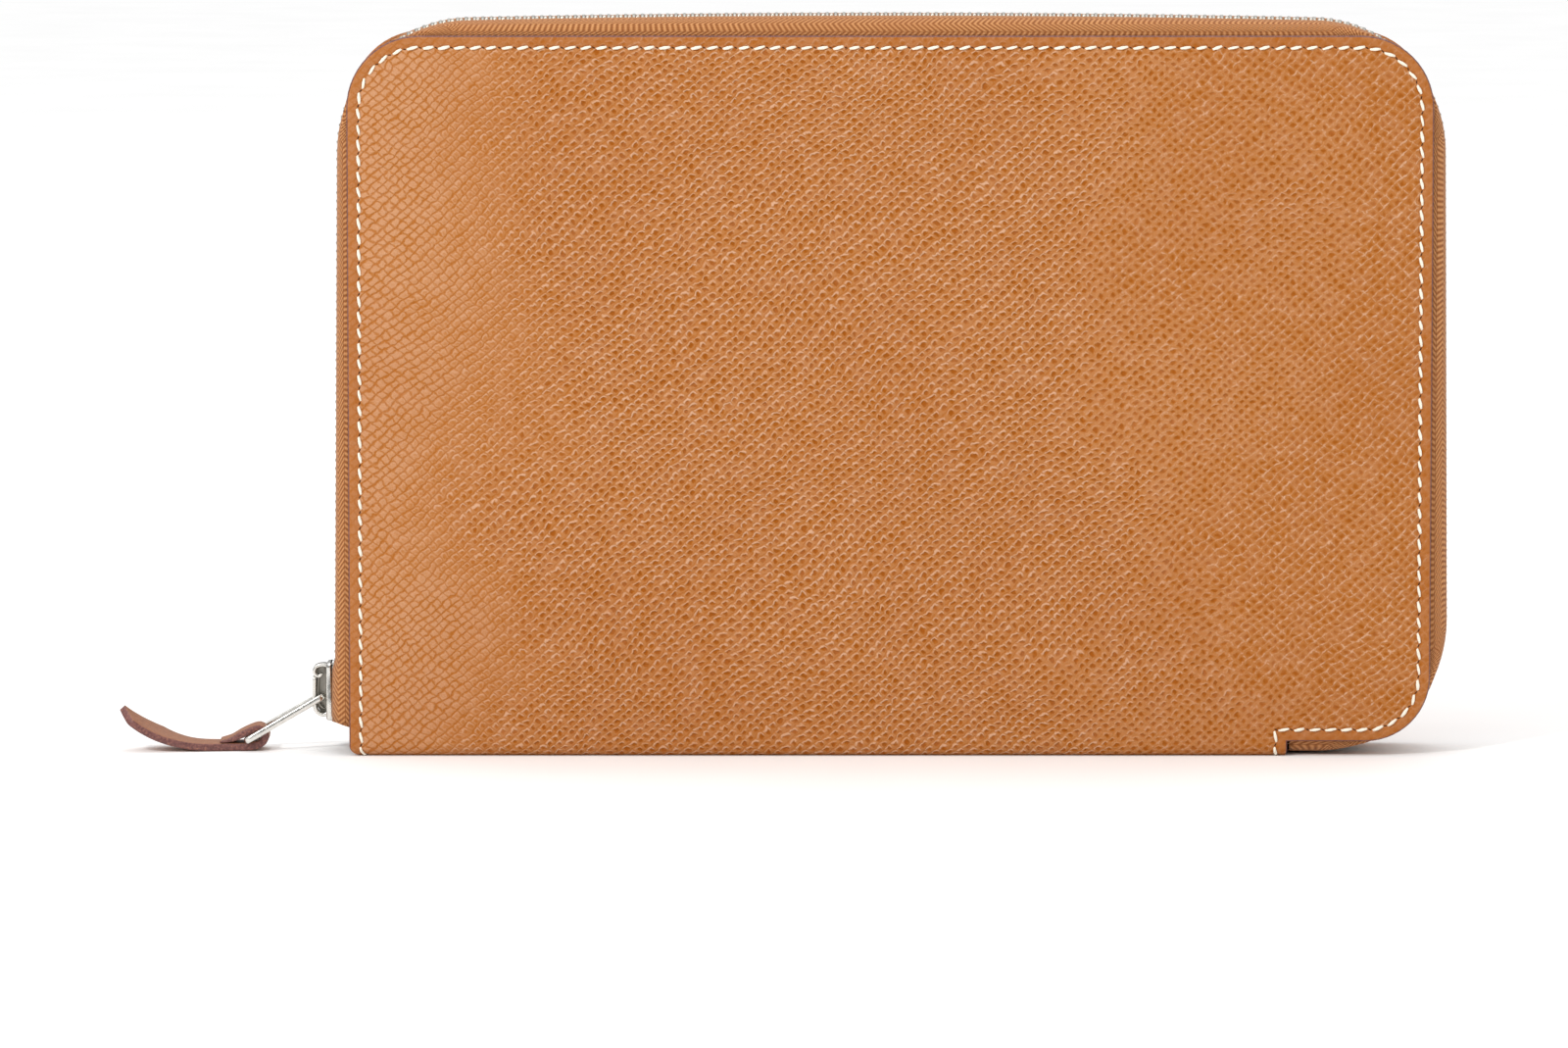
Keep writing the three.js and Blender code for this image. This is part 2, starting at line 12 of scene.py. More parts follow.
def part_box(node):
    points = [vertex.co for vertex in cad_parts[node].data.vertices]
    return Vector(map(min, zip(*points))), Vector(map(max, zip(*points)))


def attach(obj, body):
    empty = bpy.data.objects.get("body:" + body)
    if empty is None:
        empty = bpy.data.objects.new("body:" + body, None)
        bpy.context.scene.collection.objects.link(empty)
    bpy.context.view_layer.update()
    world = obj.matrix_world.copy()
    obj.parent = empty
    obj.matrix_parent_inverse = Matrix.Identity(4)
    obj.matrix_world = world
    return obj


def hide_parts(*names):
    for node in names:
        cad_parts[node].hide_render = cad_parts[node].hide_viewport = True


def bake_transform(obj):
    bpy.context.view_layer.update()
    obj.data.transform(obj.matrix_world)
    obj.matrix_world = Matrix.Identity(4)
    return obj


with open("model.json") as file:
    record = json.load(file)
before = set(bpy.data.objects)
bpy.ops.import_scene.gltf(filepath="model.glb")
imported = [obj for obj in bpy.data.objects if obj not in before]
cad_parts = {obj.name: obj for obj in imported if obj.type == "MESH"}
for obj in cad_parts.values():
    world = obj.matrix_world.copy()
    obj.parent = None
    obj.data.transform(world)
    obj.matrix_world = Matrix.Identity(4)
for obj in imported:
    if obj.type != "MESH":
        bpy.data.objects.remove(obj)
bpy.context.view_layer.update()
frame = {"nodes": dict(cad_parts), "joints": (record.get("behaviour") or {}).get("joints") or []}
rng = np.random.default_rng(11)
PI = math.pi
MM = 0.001
FRONT, BACK = -1, 1


def corners(node):
    """A CAD node's lowest and highest corners, in millimetres."""
    low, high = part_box(node)
    return np.array(low) / MM, np.array(high) / MM


# ---------------------------------------------------------------- sizes, from the frame where it has them
COVER_LOW, COVER_HIGH = corners("back_leather")
SPINE_HIGH = corners("spine_leather")[1]
CHAIN_LOW, CHAIN_HIGH = corners("back_teeth")
LEFT, RIGHT, TOP = COVER_LOW[0], COVER_HIGH[0], COVER_HIGH[2]
HALF = COVER_HIGH[1]  # middle plane to a cover's outer face
FOLD = corners("back_fold_strip")[1][2]  # the hinge line's height, and the leather's radius round it
FLAT = HALF - FOLD  # half of the spine's flat underside
ARC = FOLD * PI / 2
LEATHER = SPINE_HIGH[2]
NOTCH_X = SPINE_HIGH[0]
FLAP_Z = 2.9  # the flap's lower edge beyond the notch
TOP_RADIUS, LOW_RADIUS = 14.0, 12.5
STITCH_INSET, STITCH_PITCH, STITCH_LENGTH = 2.3, 3.04, 2.4
THREAD = 0.28  # the thread's radius
CORNER, CORNER_REACH = 1.7, 6.0  # the fold's rounded left end, and how far along it that reaches
CHAIN_HALF = 0.95
CHAIN_RADIUS = 25.0
CHAIN_TOP = CHAIN_HIGH[2] - CHAIN_HALF
CHAIN_CROWN = 0.9
CHAIN_BOTTOM = CHAIN_LOW[2] + CHAIN_HALF
CHAIN_LEFT_LOW = CHAIN_LOW[0] + CHAIN_HALF
CHAIN_RIGHT_LOW = CHAIN_HIGH[0] - CHAIN_HALF
CHAIN_LEAN = 1.0  # the chain's sides stand this much closer in at the top
TOOTH_PITCH = 1.63
LAST_TOOTH = 5.2  # the chain's end, which the bottom stops take up
TAPE_HALF = 0.25  # half of the tape's thickness
GRAIN_PITCH = 1.5
SLIDER_LOW, SLIDER_HIGH = corners("slider_body")
SLIDER_Z = (SLIDER_LOW[2] + SLIDER_HIGH[2]) / 2
SLIDER_LENGTH = SLIDER_HIGH[2] - SLIDER_LOW[2]


def joint_point(name):
    """A hinge's point at rest, in millimetres."""
    found = next(j for j in frame["joints"] if j["name"] == name)
    return np.array(found["pos_m"]) / MM


# ---------------------------------------------------------------- mesh building
class Pile:
    """Vertices, faces, surface coordinates and finish numbers gathered for one mesh."""

    def __init__(self):
        self.verts, self.faces, self.uv, self.finish = [], [], [], []
        self.count = 0

    def add(self, verts, faces, uv=None, finish=0):
        verts = np.asarray(verts, float).reshape(-1, 3)
        self.faces += [tuple(i + self.count for i in f) for f in faces]
        self.finish += [finish] * len(faces) if isinstance(finish, int) else list(finish)
        self.verts.append(verts)
        self.uv.append(verts[:, [0, 2]] if uv is None else np.asarray(uv, float).reshape(-1, 2))
        self.count += len(verts)


def make(name, pile, materials, recalc=True):
    """A mesh object from a pile, with outward normals unless recalc is off."""
    mesh = bpy.data.meshes.new(name)
    verts = np.concatenate(pile.verts)
    mesh.from_pydata((verts * MM).tolist(), [], pile.faces)
    mesh.polygons.foreach_set("material_index", pile.finish)
    mesh.polygons.foreach_set("use_smooth", [True] * len(mesh.polygons))
    layer = mesh.uv_layers.new(name="surface")
    index = np.empty(len(mesh.loops), np.int32)
    mesh.loops.foreach_get("vertex_index", index)
    layer.data.foreach_set("uv", np.concatenate(pile.uv)[index].astype(np.float32).ravel())
    for material in materials:
        mesh.materials.append(material)
    if recalc:
        bm = bmesh.new()
        bm.from_mesh(mesh)
        bmesh.ops.recalc_face_normals(bm, faces=bm.faces)
        bm.to_mesh(mesh)
        bm.free()
    mesh.update()
    obj = bpy.data.objects.new(name, mesh)
    bpy.context.scene.collection.objects.link(obj)
    return obj


def fitted(name, pile, materials, body, slot, *nodes):
    """A piece that rides a body, and stands in for the CAD nodes named."""
    piece = make(name, pile, materials)
    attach(piece, body)
    if nodes:
        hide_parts(*nodes)
    return piece


def loft(rings, wrap=True, around=False, caps=True):
    """Quads between neighbouring rings. wrap closes each ring; around joins the last ring to the first."""
    rings = np.asarray(rings, float)
    n, m, _ = rings.shape
    faces = []
    for i in range(n if around else n - 1):
        j = (i + 1) % n
        for k in range(m if wrap else m - 1):
            l = (k + 1) % m
            faces.append((i * m + k, j * m + k, j * m + l, i * m + l))
    if caps and wrap and not around:
        faces.append(tuple(range(m)))
        faces.append(tuple((n - 1) * m + k for k in reversed(range(m))))
    return rings.reshape(-1, 3), faces


def lofted(rings, uv=None, around=False):
    """A pile with one loft in it."""
    pile = Pile()
    pile.add(*loft(rings, around=around), uv)
    return pile


def smoothstep(x, low, high):
    """0 below low, 1 above high, and an even rise between."""
    t = np.clip((np.asarray(x, float) - low) / (high - low), 0, 1)
    return t * t * (3 - 2 * t)


def unit(v):
    """Vectors brought to length 1."""
    v = np.asarray(v, float)
    return v / np.maximum(np.linalg.norm(v, axis=-1, keepdims=True), 1e-12)


def tangents(points, closed=False):
    """The direction of a line at each of its points."""
    points = np.asarray(points, float)
    if closed:
        return unit(np.roll(points, -1, 0) - np.roll(points, 1, 0))
    return unit(np.gradient(points, axis=0))


def distances(points):
    """How far along a line each of its points lies."""
    return np.concatenate([[0], np.cumsum(np.linalg.norm(np.diff(points, axis=0), axis=1))])


def resample(points, step):
    """Points at even distances along a line, and those distances."""
    points = np.asarray(points, float)
    along = distances(points)
    at = np.linspace(0, along[-1], max(2, int(round(along[-1] / step)) + 1))
    return np.stack([np.interp(at, along, points[:, k]) for k in range(points.shape[1])], 1), at


def spline(points, count):
    """A smooth line through a few points (Catmull-Rom)."""
    p = np.asarray(points, float)
    p = np.concatenate([[2 * p[0] - p[1]], p, [2 * p[-1] - p[-2]]])
    out = []
    for t in np.linspace(0, len(p) - 3 - 1e-9, count):
        i, f = int(t), t - int(t)
        a, b, c, d = p[i : i + 4]
        square, cube = 2 * a - 5 * b + 4 * c - d, 3 * b - a - 3 * c + d
        out.append(0.5 * (2 * b + (c - a) * f + square * f**2 + cube * f**3))
    return np.array(out)


def arcs(turns, steps):
    """Points round quarter turns, counterclockwise; a turn is its centre, radius and first angle."""
    points = []
    for cx, cy, radius, start in turns:
        for a in np.radians(np.linspace(start, start + 90, steps)):
            points.append((cx + radius * math.cos(a), cy + radius * math.sin(a)))
    return points


def rounded_rect(half_u, half_v, radius, steps=3):
    """A rounded rectangle's points, counterclockwise."""
    u, v = half_u - radius, half_v - radius
    centres = (u, v), (-u, v), (-u, -v), (u, -v)
    return np.array(arcs([(*centre, radius, 90 * k) for k, centre in enumerate(centres)], steps))


# ---------------------------------------------------------------- materials
def srgb(r, g, b):
    """Linear colour from 0 to 255 display values."""
    c = np.array([r, g, b]) / 255
    return (*np.where(c <= 0.04045, c / 12.92, ((c + 0.055) / 1.055) ** 2.4), 1.0)


class Graph:
    """A node material under construction; every helper returns an output socket."""

    def __init__(self, name, **constants):
        self.material = bpy.data.materials.new(name)
        self.material.use_nodes = True
        self.tree = self.material.node_tree
        self.shader = self.tree.nodes["Principled BSDF"]
        for socket, value in constants.items():
            self.shader.inputs[socket.replace("_", " ")].default_value = value

    def put(self, value, socket):
        if isinstance(value, bpy.types.NodeSocket):
            self.tree.links.new(value, socket)
        else:
            socket.default_value = value

    def node(self, kind, inputs=(), output=0, **settings):
        node = self.tree.nodes.new("ShaderNode" + kind)
        for key, value in settings.items():
            setattr(node, key, value)
        items = inputs.items() if isinstance(inputs, dict) else enumerate(inputs)
        for key, value in items:
            self.put(value, node.inputs[key])
        return node.outputs[output]

    def math(self, operation, *inputs):
        return self.node("Math", inputs, operation=operation)

    def plus(self, a, b):
        return self.math("ADD", a, b)

    def minus(self, a, b):
        return self.math("SUBTRACT", a, b)

    def times(self, a, b):
        return self.math("MULTIPLY", a, b)

    def linear(self, value, slope, start):
        """The value times slope, plus start."""
        return self.math("MULTIPLY_ADD", value, slope, start)

    def vector(self, operation, *inputs):
        return self.node("VectorMath", inputs, operation=operation)

    def surface(self):
        return self.node("UVMap", output="UV", uv_map="surface")

    def solid(self):
        """Place inside the piece, in millimetres."""
        place = self.node("TexCoord", output="Object")
        return self.node("VectorMath", {0: place, "Scale": 1 / MM}, operation="SCALE")

    def noise(self, place, scale, detail=2.0, roughness=0.5, output="Fac"):
        inputs = {"Vector": place, "Scale": scale, "Detail": detail, "Roughness": roughness}
        return self.node("TexNoise", inputs, output=output)

    def span(self, value, low, high, to_low=0.0, to_high=1.0):
        return self.node("MapRange", [value, low, high, to_low, to_high], interpolation_type="SMOOTHSTEP")

    def hump(self, value, centre, reach):
        """1 at the centre, falling to 0 at reach on either side."""
        return self.span(self.math("ABSOLUTE", self.minus(value, centre)), 0.0, reach, 1.0, 0.0)

    def blend(self, share, a, b):
        """From number a to number b as share goes from 0 to 1."""
        return self.linear(self.minus(b, a), share, a)

    def ramp(self, value, *stops):
        """Colours along a value: each stop is a place, then a colour in display values."""
        out = self.node("ValToRGB", [value], output="Color")
        points = out.node.color_ramp.elements
        while len(points) < len(stops):
            points.new(0.5)
        for point, (place, *colour) in zip(points, stops):
            point.position = place
            point.color = srgb(*colour)
        return out

    def mix(self, share, a, b):
        """From colour a to colour b as share goes from 0 to 1."""
        node = self.tree.nodes.new("ShaderNodeMix")
        node.data_type = "RGBA"
        for value, key in ((share, "Factor_Float"), (a, "A_Color"), (b, "B_Color")):
            self.put(value, next(s for s in node.inputs if s.identifier == key))
        return next(s for s in node.outputs if s.identifier == "Result_Color")

    def bump(self, height, depth):
        """Height from 0 to 1 stands for depth in millimetres."""
        inputs = {"Height": height, "Distance": depth * MM, "Strength": 1.0}
        return self.node("Bump", inputs, output="Normal")

    def finish(self, colour, roughness, normal):
        self.put(colour, self.shader.inputs["Base Color"])
        self.put(roughness, self.shader.inputs["Roughness"])
        self.put(normal, self.shader.inputs["Normal"])
        return self.material


TAN_TO_SHEEN_TONES = (158, 82, 0), (172, 100, 30), (185, 122, 68), (214, 166, 132)  # pit to crest: the tan, then the tan with more and more painted sheen


def wandering(g, uv):
    """Places on the leather, pushed about at three scales so that pressed lines waver."""
    place = uv
    for scale, reach in ((0.02, 9.0), (0.4, 1.5), (1.3, 0.55)):
        drift = g.noise(uv, scale, 2.0, output="Color")
        shift = g.vector("MULTIPLY_ADD", drift, (reach, reach, 0), (-reach / 2, -reach / 2, 0))
        place = g.vector("ADD", place, shift)
    return place


def pressed_lines(g, place):
    """Distances across two slanting families of lines, each counted in its own pitch."""
    lines = []
    for angle, pitch in ((math.radians(131), GRAIN_PITCH), (math.radians(49), GRAIN_PITCH * 1.04)):
        heading = (math.cos(angle), math.sin(angle), 0)
        across = g.vector("DOT_PRODUCT", place, heading).node.outputs["Value"]
        lines.append(g.math("DIVIDE", across, pitch))
    return lines


def plump_highlit_to_pitted(g, uv):
    """How far the grain has gone from plump domes, whose tops carry painted highlight that makes the left
    paler, to pits and thin ridges: from 0 at the left edge to 1 at the right, unevenly.
    """
    run = g.node("SeparateXYZ", [uv])
    wobble = g.linear(g.noise(uv, 0.03, 3.0), 0.7, -0.35)
    left = g.span(run, LEFT - 6, LEFT + 72, 0.0, 0.62)
    right = g.span(run, LEFT + 90, RIGHT + 6, 0.0, 0.45)
    return g.plus(g.plus(left, right), wobble)


def grain_height(g, uv):
    """A net of small diamonds, from 0 in a pit to 1 on a crest; the colour ramp paints the higher parts
    paler as painted sheen. At the left they are plump, with thin grooves between; toward the middle each
    keeps a raised stroke at its upper left, pale with painted highlight, beside a thin line of painted
    shade, and sinks to a pit at its lower right; at the right only thin ridges stand, pale with painted
    sheen."""
    lines = pressed_lines(g, wandering(g, uv))
    rise, slide = [g.math("FRACT", line) for line in lines]
    first, second = [g.times(g.math("PINGPONG", line, 0.5), 2.0) for line in lines]
    cell = g.node("CombineXYZ", [g.math("FLOOR", lines[0]), g.math("FLOOR", lines[1]), 0.0])
    chance = g.node("TexWhiteNoise", {"Vector": cell}, output="Value", noise_dimensions="3D")
    patch = g.noise(uv, 0.9, 2.0, 0.6)
    edge = g.math("SMOOTH_MIN", first, g.linear(second, 0.84, 0.12), 0.12)
    edge = g.plus(edge, g.linear(patch, 0.5, -0.25))
    # Plump domes for the left side; the colour ramp gives their tops painted highlight.
    dome = g.span(edge, -0.08, 0.5, 0.33, 0.77)

    apart = [g.math("ABSOLUTE", g.minus(*pair)) for pair in ((rise, 0.4), (slide, 0.5))]
    straight = g.math("MAXIMUM", *apart)
    curved = g.vector("LENGTH", g.node("CombineXYZ", apart + [0.0])).node.outputs["Value"]
    from_pit = g.blend(0.45, straight, curved)
    # The stroke sits on each cell's upper left, the side the light comes from: raised for the bump, and
    # pale in colour as painted highlight.
    upper_left = g.span(g.linear(slide, 0.4, rise), 0.58, 0.92)
    stroke = g.times(g.hump(from_pit, 0.37, 0.19), upper_left)
    stroke = g.times(stroke, g.linear(chance, 0.8, 0.45))
    pit = g.span(from_pit, 0.06, 0.34, 1.0, 0.0)
    pit = g.times(pit, g.linear(chance, -0.5, 1.1))
    sunk = g.minus(g.linear(stroke, 0.5, 0.56), g.times(pit, 0.72))
    # A thin dark line along each crease of the first family, beside the stroke: a groove for the bump, and
    # painted shade in colour.
    sunk = g.minus(sunk, g.span(first, 0.0, 0.2, 0.16, 0.0))
    ridge = g.times(g.span(edge, 0.0, 0.36, 1.0, 0.0), g.span(patch, 0.3, 0.6, 1.0, 0.4))
    net = g.minus(g.linear(ridge, 0.5, 0.48), g.times(pit, 0.4))

    share = plump_highlit_to_pitted(g, uv)
    opening, thinning = g.span(share, 0.02, 0.5), g.span(share, 0.7, 1.05)
    return g.blend(opening, dome, g.blend(thinning, sunk, net))


def grained_leather(name, strength, deepen):
    """Tan pressed leather, its higher parts paler with painted sheen. strength is how far the pressing
    shows, deepen how much darker it is.
    """
    g = Graph(name, IOR=1.46, Specular_IOR_Level=0.18)
    uv = g.surface()
    grit = g.noise(uv, 3.2, 4.0, 0.7)
    height = g.linear(grain_height(g, uv), strength, 0.6 * (1 - strength))
    height = g.plus(height, g.linear(grit, 0.46, -0.23))
    # Colour follows the height: the pits keep the tan, and the higher parts get painted sheen, palest on
    # the crests.
    stops = [(place, *tone) for place, tone in zip((0.05, 0.38, 0.62, 0.98), TAN_TO_SHEEN_TONES)]
    tone = g.span(g.noise(uv, 0.02, 3.0, 0.55), 0.35, 0.75, deepen, deepen + 0.18)
    colour = g.mix(tone, g.ramp(height, *stops), srgb(*TAN_TO_SHEEN_TONES[0]))
    mottle = g.span(g.noise(uv, 0.22, 3.0, 0.6), 0.38, 0.72, 0.0, 0.12)
    colour = g.mix(mottle, colour, srgb(*TAN_TO_SHEEN_TONES[3]))
    return g.finish(colour, g.span(height, 0.2, 0.9, 0.58, 0.38), g.bump(height, 0.24))


def tab_leather():
    """The pull's leather: darker, with a fine grain drawn out along the strip."""
    g = Graph("tab_leather", IOR=1.46)
    streak = g.noise(g.vector("MULTIPLY", g.surface(), (0.8, 3.2, 1.0)), 1.2, 4.0, 0.65)
    grit = g.noise(g.surface(), 3.0, 3.0, 0.6)
    height = g.plus(g.times(streak, 0.7), g.times(grit, 0.3))
    colour = g.ramp(height, (0.32, 112, 66, 42), (0.5, 150, 96, 64), (0.68, 184, 128, 90))
    return g.finish(colour, g.span(grit, 0.3, 0.7, 0.4, 0.58), g.bump(height, 0.1))


def speckled(name, noise, stops, rough, depth, **constants):
    """A material whose colour, roughness and relief all follow one fine noise."""
    g = Graph(name, **constants)
    speck = g.noise(g.solid(), *noise)
    return g.finish(g.ramp(speck, *stops), g.span(speck, *rough), g.bump(speck, depth))


def smooth_leather(name, light, dark):
    """Fine-grained calf for the inside."""
    g = Graph(name, IOR=1.45)
    uv = g.surface()
    cells = g.node("TexVoronoi", {"Vector": uv, "Scale": 1.9, "Randomness": 1.0}, output="Distance",
                   feature="DISTANCE_TO_EDGE")
    crease = g.span(cells, 0.0, 0.16)
    grit = g.noise(uv, 2.6, 4.0, 0.6)
    height = g.plus(g.times(crease, 0.6), g.times(grit, 0.5))
    tone = g.noise(uv, 0.05, 3.0, 0.55)
    colour = g.mix(g.span(tone, 0.3, 0.7), light, dark)
    colour = g.mix(g.span(height, 0.35, 0.75, 0.35, 0.0), colour, srgb(140, 82, 40))
    return g.finish(colour, g.span(grit, 0.3, 0.7, 0.48, 0.66), g.bump(height, 0.05))


def herringbone():
    """Woven zip tape: zigzag ribs in columns along the tape."""
    g = Graph("herringbone_tape", IOR=1.4, Sheen_Weight=0.1, Sheen_Roughness=0.5)
    along = g.node("SeparateXYZ", [g.surface()])
    across = along.node.outputs[1]
    column = g.math("PINGPONG", across, 1.5)
    phase = g.times(g.linear(column, 1.1, along), 2 * PI / 1.05)
    rib = g.linear(g.math("SINE", phase), 0.5, 0.5)
    yarn = g.linear(g.math("SINE", g.times(across, 2 * PI / 0.32)), 0.5, 0.5)
    turn = g.span(column, 0.0, 0.12, 0.4, 1.0)
    height = g.plus(g.times(rib, 0.72), g.times(yarn, 0.28))
    fuzz = g.noise(g.surface(), 3.5, 3.0, 0.7)
    height = g.plus(g.times(height, turn), g.times(fuzz, 0.35))
    colour = g.ramp(height, (0.2, 122, 68, 24), (0.6, 170, 106, 54), (1.0, 206, 147, 94))
    tone = g.noise(g.surface(), 0.08, 2.0)
    colour = g.mix(g.span(tone, 0.3, 0.7, 0.0, 0.25), colour, srgb(168, 104, 58))
    return g.finish(colour, g.span(fuzz, 0.3, 0.7, 0.72, 0.9), g.bump(height, 0.14))


def nickel(name, rough, tint):
    """Plated metal with faint smears and fine scratches."""
    g = Graph(name, Metallic=1.0)
    place = g.solid()
    smear = g.noise(place, 0.8, 4.0, 0.6)
    scratch = g.noise(g.vector("MULTIPLY", place, (9.0, 9.0, 1.2)), 1.0, 3.0, 0.7)
    colour = g.ramp(smear, (0.3, *[c * 0.9 for c in tint]), (0.7, *tint))
    return g.finish(colour, g.span(smear, 0.3, 0.7, rough * 0.75, rough * 1.5), g.bump(scratch, 0.006))


def lining_cloth():
    """Plain woven cloth."""
    g = Graph("lining_cloth", IOR=1.4, Sheen_Weight=0.2)
    split = g.node("SeparateXYZ", [g.surface()])
    warp = g.math("SINE", g.times(split, 2 * PI / 0.55))
    weft = g.math("SINE", g.times(split.node.outputs[1], 2 * PI / 0.55))
    weave = g.linear(g.times(warp, weft), 0.5, 0.5)
    fuzz = g.noise(g.surface(), 3.0, 3.0)
    height = g.plus(weave, g.times(fuzz, 0.4))
    colour = g.ramp(height, (0.2, 176, 134, 88), (1.0, 216, 182, 138))
    return g.finish(colour, g.span(fuzz, 0.3, 0.7, 0.8, 0.92), g.bump(height, 0.08))


GRAINED = grained_leather("grained_leather", 1.0, 0.0)
MARGIN = grained_leather("pressed_margin", 0.45, 0.34)
TAB = tab_leather()
PAINT = speckled(
    "edge_paint", (2.2, 4.0, 0.6), [(0.34, 84, 46, 44), (0.58, 124, 78, 72), (0.78, 176, 122, 84)],
    (0.3, 0.8, 0.35, 0.6), 0.06, IOR=1.48,
)
CALF = smooth_leather("inner_calf", srgb(193, 126, 72), srgb(185, 117, 64))
TAPE = herringbone()
NICKEL = nickel("polished_nickel", 0.2, (232, 230, 224))
TOOTH_METAL = nickel("tooth_metal", 0.26, (214, 210, 200))
# The same nickel, darker and rougher: painted shade for the slider's post, the plate in its passage, its
# side plate under the bridge and the spring under its cap.
PAINTED_SHADE_NICKEL = nickel("painted_shade_nickel", 0.42, (184, 180, 171))
THREAD_WHITE = speckled(
    "waxed_thread", (5.0, 4.0, 0.7), [(0.25, 232, 222, 198), (0.6, 253, 248, 232), (0.85, 255, 254, 246)],
    (0.2, 0.8, 0.55, 0.8), 0.05, IOR=1.45, Sheen_Weight=0.15,
)
# Dark lenses at the needle holes: painted shade in place of the holes' depth.
HOLE_SHADE = speckled(
    "needle_hole_shade", (4.0, 3.0, 0.6), [(0.3, 66, 34, 16), (0.8, 104, 58, 28)],
    (0.2, 0.8, 0.7, 0.95), 0.05, IOR=1.3,
)
CLOTH = lining_cloth()
BOARD = speckled(
    "fibreboard", (0.9, 5.0, 0.7), [(0.3, 142, 92, 56), (0.75, 176, 122, 80)],
    (0.3, 0.7, 0.8, 0.95), 0.08, IOR=1.4,
)


# ---------------------------------------------------------------- the outer leather, unrolled
# u runs along the wallet; v runs from the middle of the spine, round the fold and up a cover.
def climb(z):
    """v at height z on a cover."""
    return FLAT + ARC + z - FOLD


def fold_rows(low, high, step=2.4):
    """Places in v from low to high, close together round the fold."""
    under = [0, 1.5, 3, 4.5, 6, 7.3]
    above = climb(FOLD) + np.array([0.8, 2, 3.5])
    near = np.concatenate([under, FLAT + ARC * np.linspace(0, 1, 9), above])
    near = near[near < high - 0.3]
    rest = np.linspace(max(near[-1], low), high, max(2, int((high - max(near[-1], low)) / step) + 1))
    rows = np.unique(np.concatenate([near, rest]).round(4))
    return rows[(rows > low - 1e-6) & (rows < high + 1e-6)]


def skin_point(side, u, v, out):
    """A place on the unrolled leather, out above its face, in the wallet's frame."""
    u, v, out = np.broadcast_arrays(np.asarray(u, float), np.asarray(v, float), np.asarray(out, float))
    turn = np.clip((v - FLAT) / FOLD, 0, PI / 2)
    y = side * (np.minimum(v, FLAT) + FOLD * np.sin(turn) + np.sin(turn) * out)
    z = FOLD * (1 - np.cos(turn)) + np.maximum(v - FLAT - ARC, 0) - np.cos(turn) * out
    rise = np.minimum(FOLD * (1 - np.cos(turn)), CORNER)
    pull = CORNER - np.sqrt(CORNER**2 - (CORNER - rise) ** 2)
    x = u + pull * np.exp(-((u - LEFT) / CORNER_REACH) ** 2)
    return np.stack([x, y, z], -1)


def leather_outline():
    """The cut edge from the spine's left end clockwise to the notch: points and inward directions."""
    top, flap = climb(TOP), climb(FLAP_Z)
    points, inward = [], []

    def arc(cx, cy, radius, start, end, count=15):
        for a in np.radians(np.linspace(start, end, count)):
            points.append((cx + radius * math.cos(a), cy + radius * math.sin(a)))
            inward.append((-math.cos(a), -math.sin(a)))

    def straight(a, b, direction, places):
        for t in places:
            points.append((a[0] + (b[0] - a[0]) * t, a[1] + (b[1] - a[1]) * t))
            inward.append(direction)

    rows = fold_rows(0, top - TOP_RADIUS)[:-1]
    for v in rows:
        points.append((LEFT, v))
        inward.append((1, 0))
    arc(LEFT + TOP_RADIUS, top - TOP_RADIUS, TOP_RADIUS, 180, 90)
    straight((LEFT + TOP_RADIUS, top), (RIGHT - TOP_RADIUS, top), (0, -1), np.linspace(0, 1, 76)[1:-1])
    arc(RIGHT - TOP_RADIUS, top - TOP_RADIUS, TOP_RADIUS, 90, 0)
    straight((RIGHT, top - TOP_RADIUS), (RIGHT, flap + LOW_RADIUS), (-1, 0), np.linspace(0, 1, 48)[1:-1])
    arc(RIGHT - LOW_RADIUS, flap + LOW_RADIUS, LOW_RADIUS, 0, -90)
    straight((RIGHT - LOW_RADIUS, flap), (NOTCH_X, flap), (0, 1), np.linspace(0, 1, 9)[1:-1])
    points.append((NOTCH_X, flap))
    inward.append((-1, 1))
    for v in fold_rows(0, flap)[::-1][1:]:
        points.append((NOTCH_X, v))
        inward.append((-1, 0))
    return np.array(points), np.array(inward, float)


OUTLINE, INWARD = leather_outline()
INSETS = np.array([0, 0.1, 0.25, 0.5, 0.9, 1.5, 1.95, 2.3, 2.65, 3.1, 3.9, 5.2])
EDGE_DENSE = resample(OUTLINE, 0.5)[0]


def inset_outline(inset):
    """The cut edge moved inward, its ends still on the middle of the spine."""
    ring = OUTLINE + INWARD * inset
    ring[0, 1] = ring[-1, 1] = 0
    return ring


def from_edge(points):
    """How far each place on the unrolled leather is from the cut edge."""
    out = np.empty(len(points))
    for i in range(0, len(points), 500):
        gap = points[i : i + 500, None, :] - EDGE_DENSE[None]
        out[i : i + 500] = np.sqrt((gap**2).sum(-1)).min(1)
    return out


def swell(u, v, inset):
    """How far the leather's face stands out: rounded cut edge, pulled-in stitch line, filled middle."""
    edge = np.interp(inset, [0, 0.1, 0.25, 0.5, 0.9], [-0.55, -0.25, -0.1, -0.02, 0.0])
    seam = -0.2 * np.exp(-(((inset - STITCH_INSET) / 0.42) ** 2))
    fill = 0.75 * (1 - np.exp(-np.maximum(inset - STITCH_INSET, 0) / 7.0))
    slack = 0.09 * np.sin(0.043 * u + 0.9) * np.sin(0.051 * v + 0.4) + 0.05 * np.sin(0.11 * u - 0.07 * v)
    on_cover = smoothstep(v, climb(FOLD) - 2.5, climb(FOLD) + 14)
    return edge + seam + (fill + slack * smoothstep(inset, 3, 16)) * on_cover


def triangulated(points, insets, edges, outline, middle):
    """Fills an outline with triangles: its places, their insets (middle for a new one), its faces."""
    places = [Vector(p) for p in points]
    found, _, faces, origin, _, _ = geometry.delaunay_2d_cdt(places, edges, [outline], 1, 1e-5)
    inset = [insets[o[0]] if o else middle for o in origin]
    return np.array([tuple(p) for p in found]), np.array(inset), [tuple(f) for f in faces]


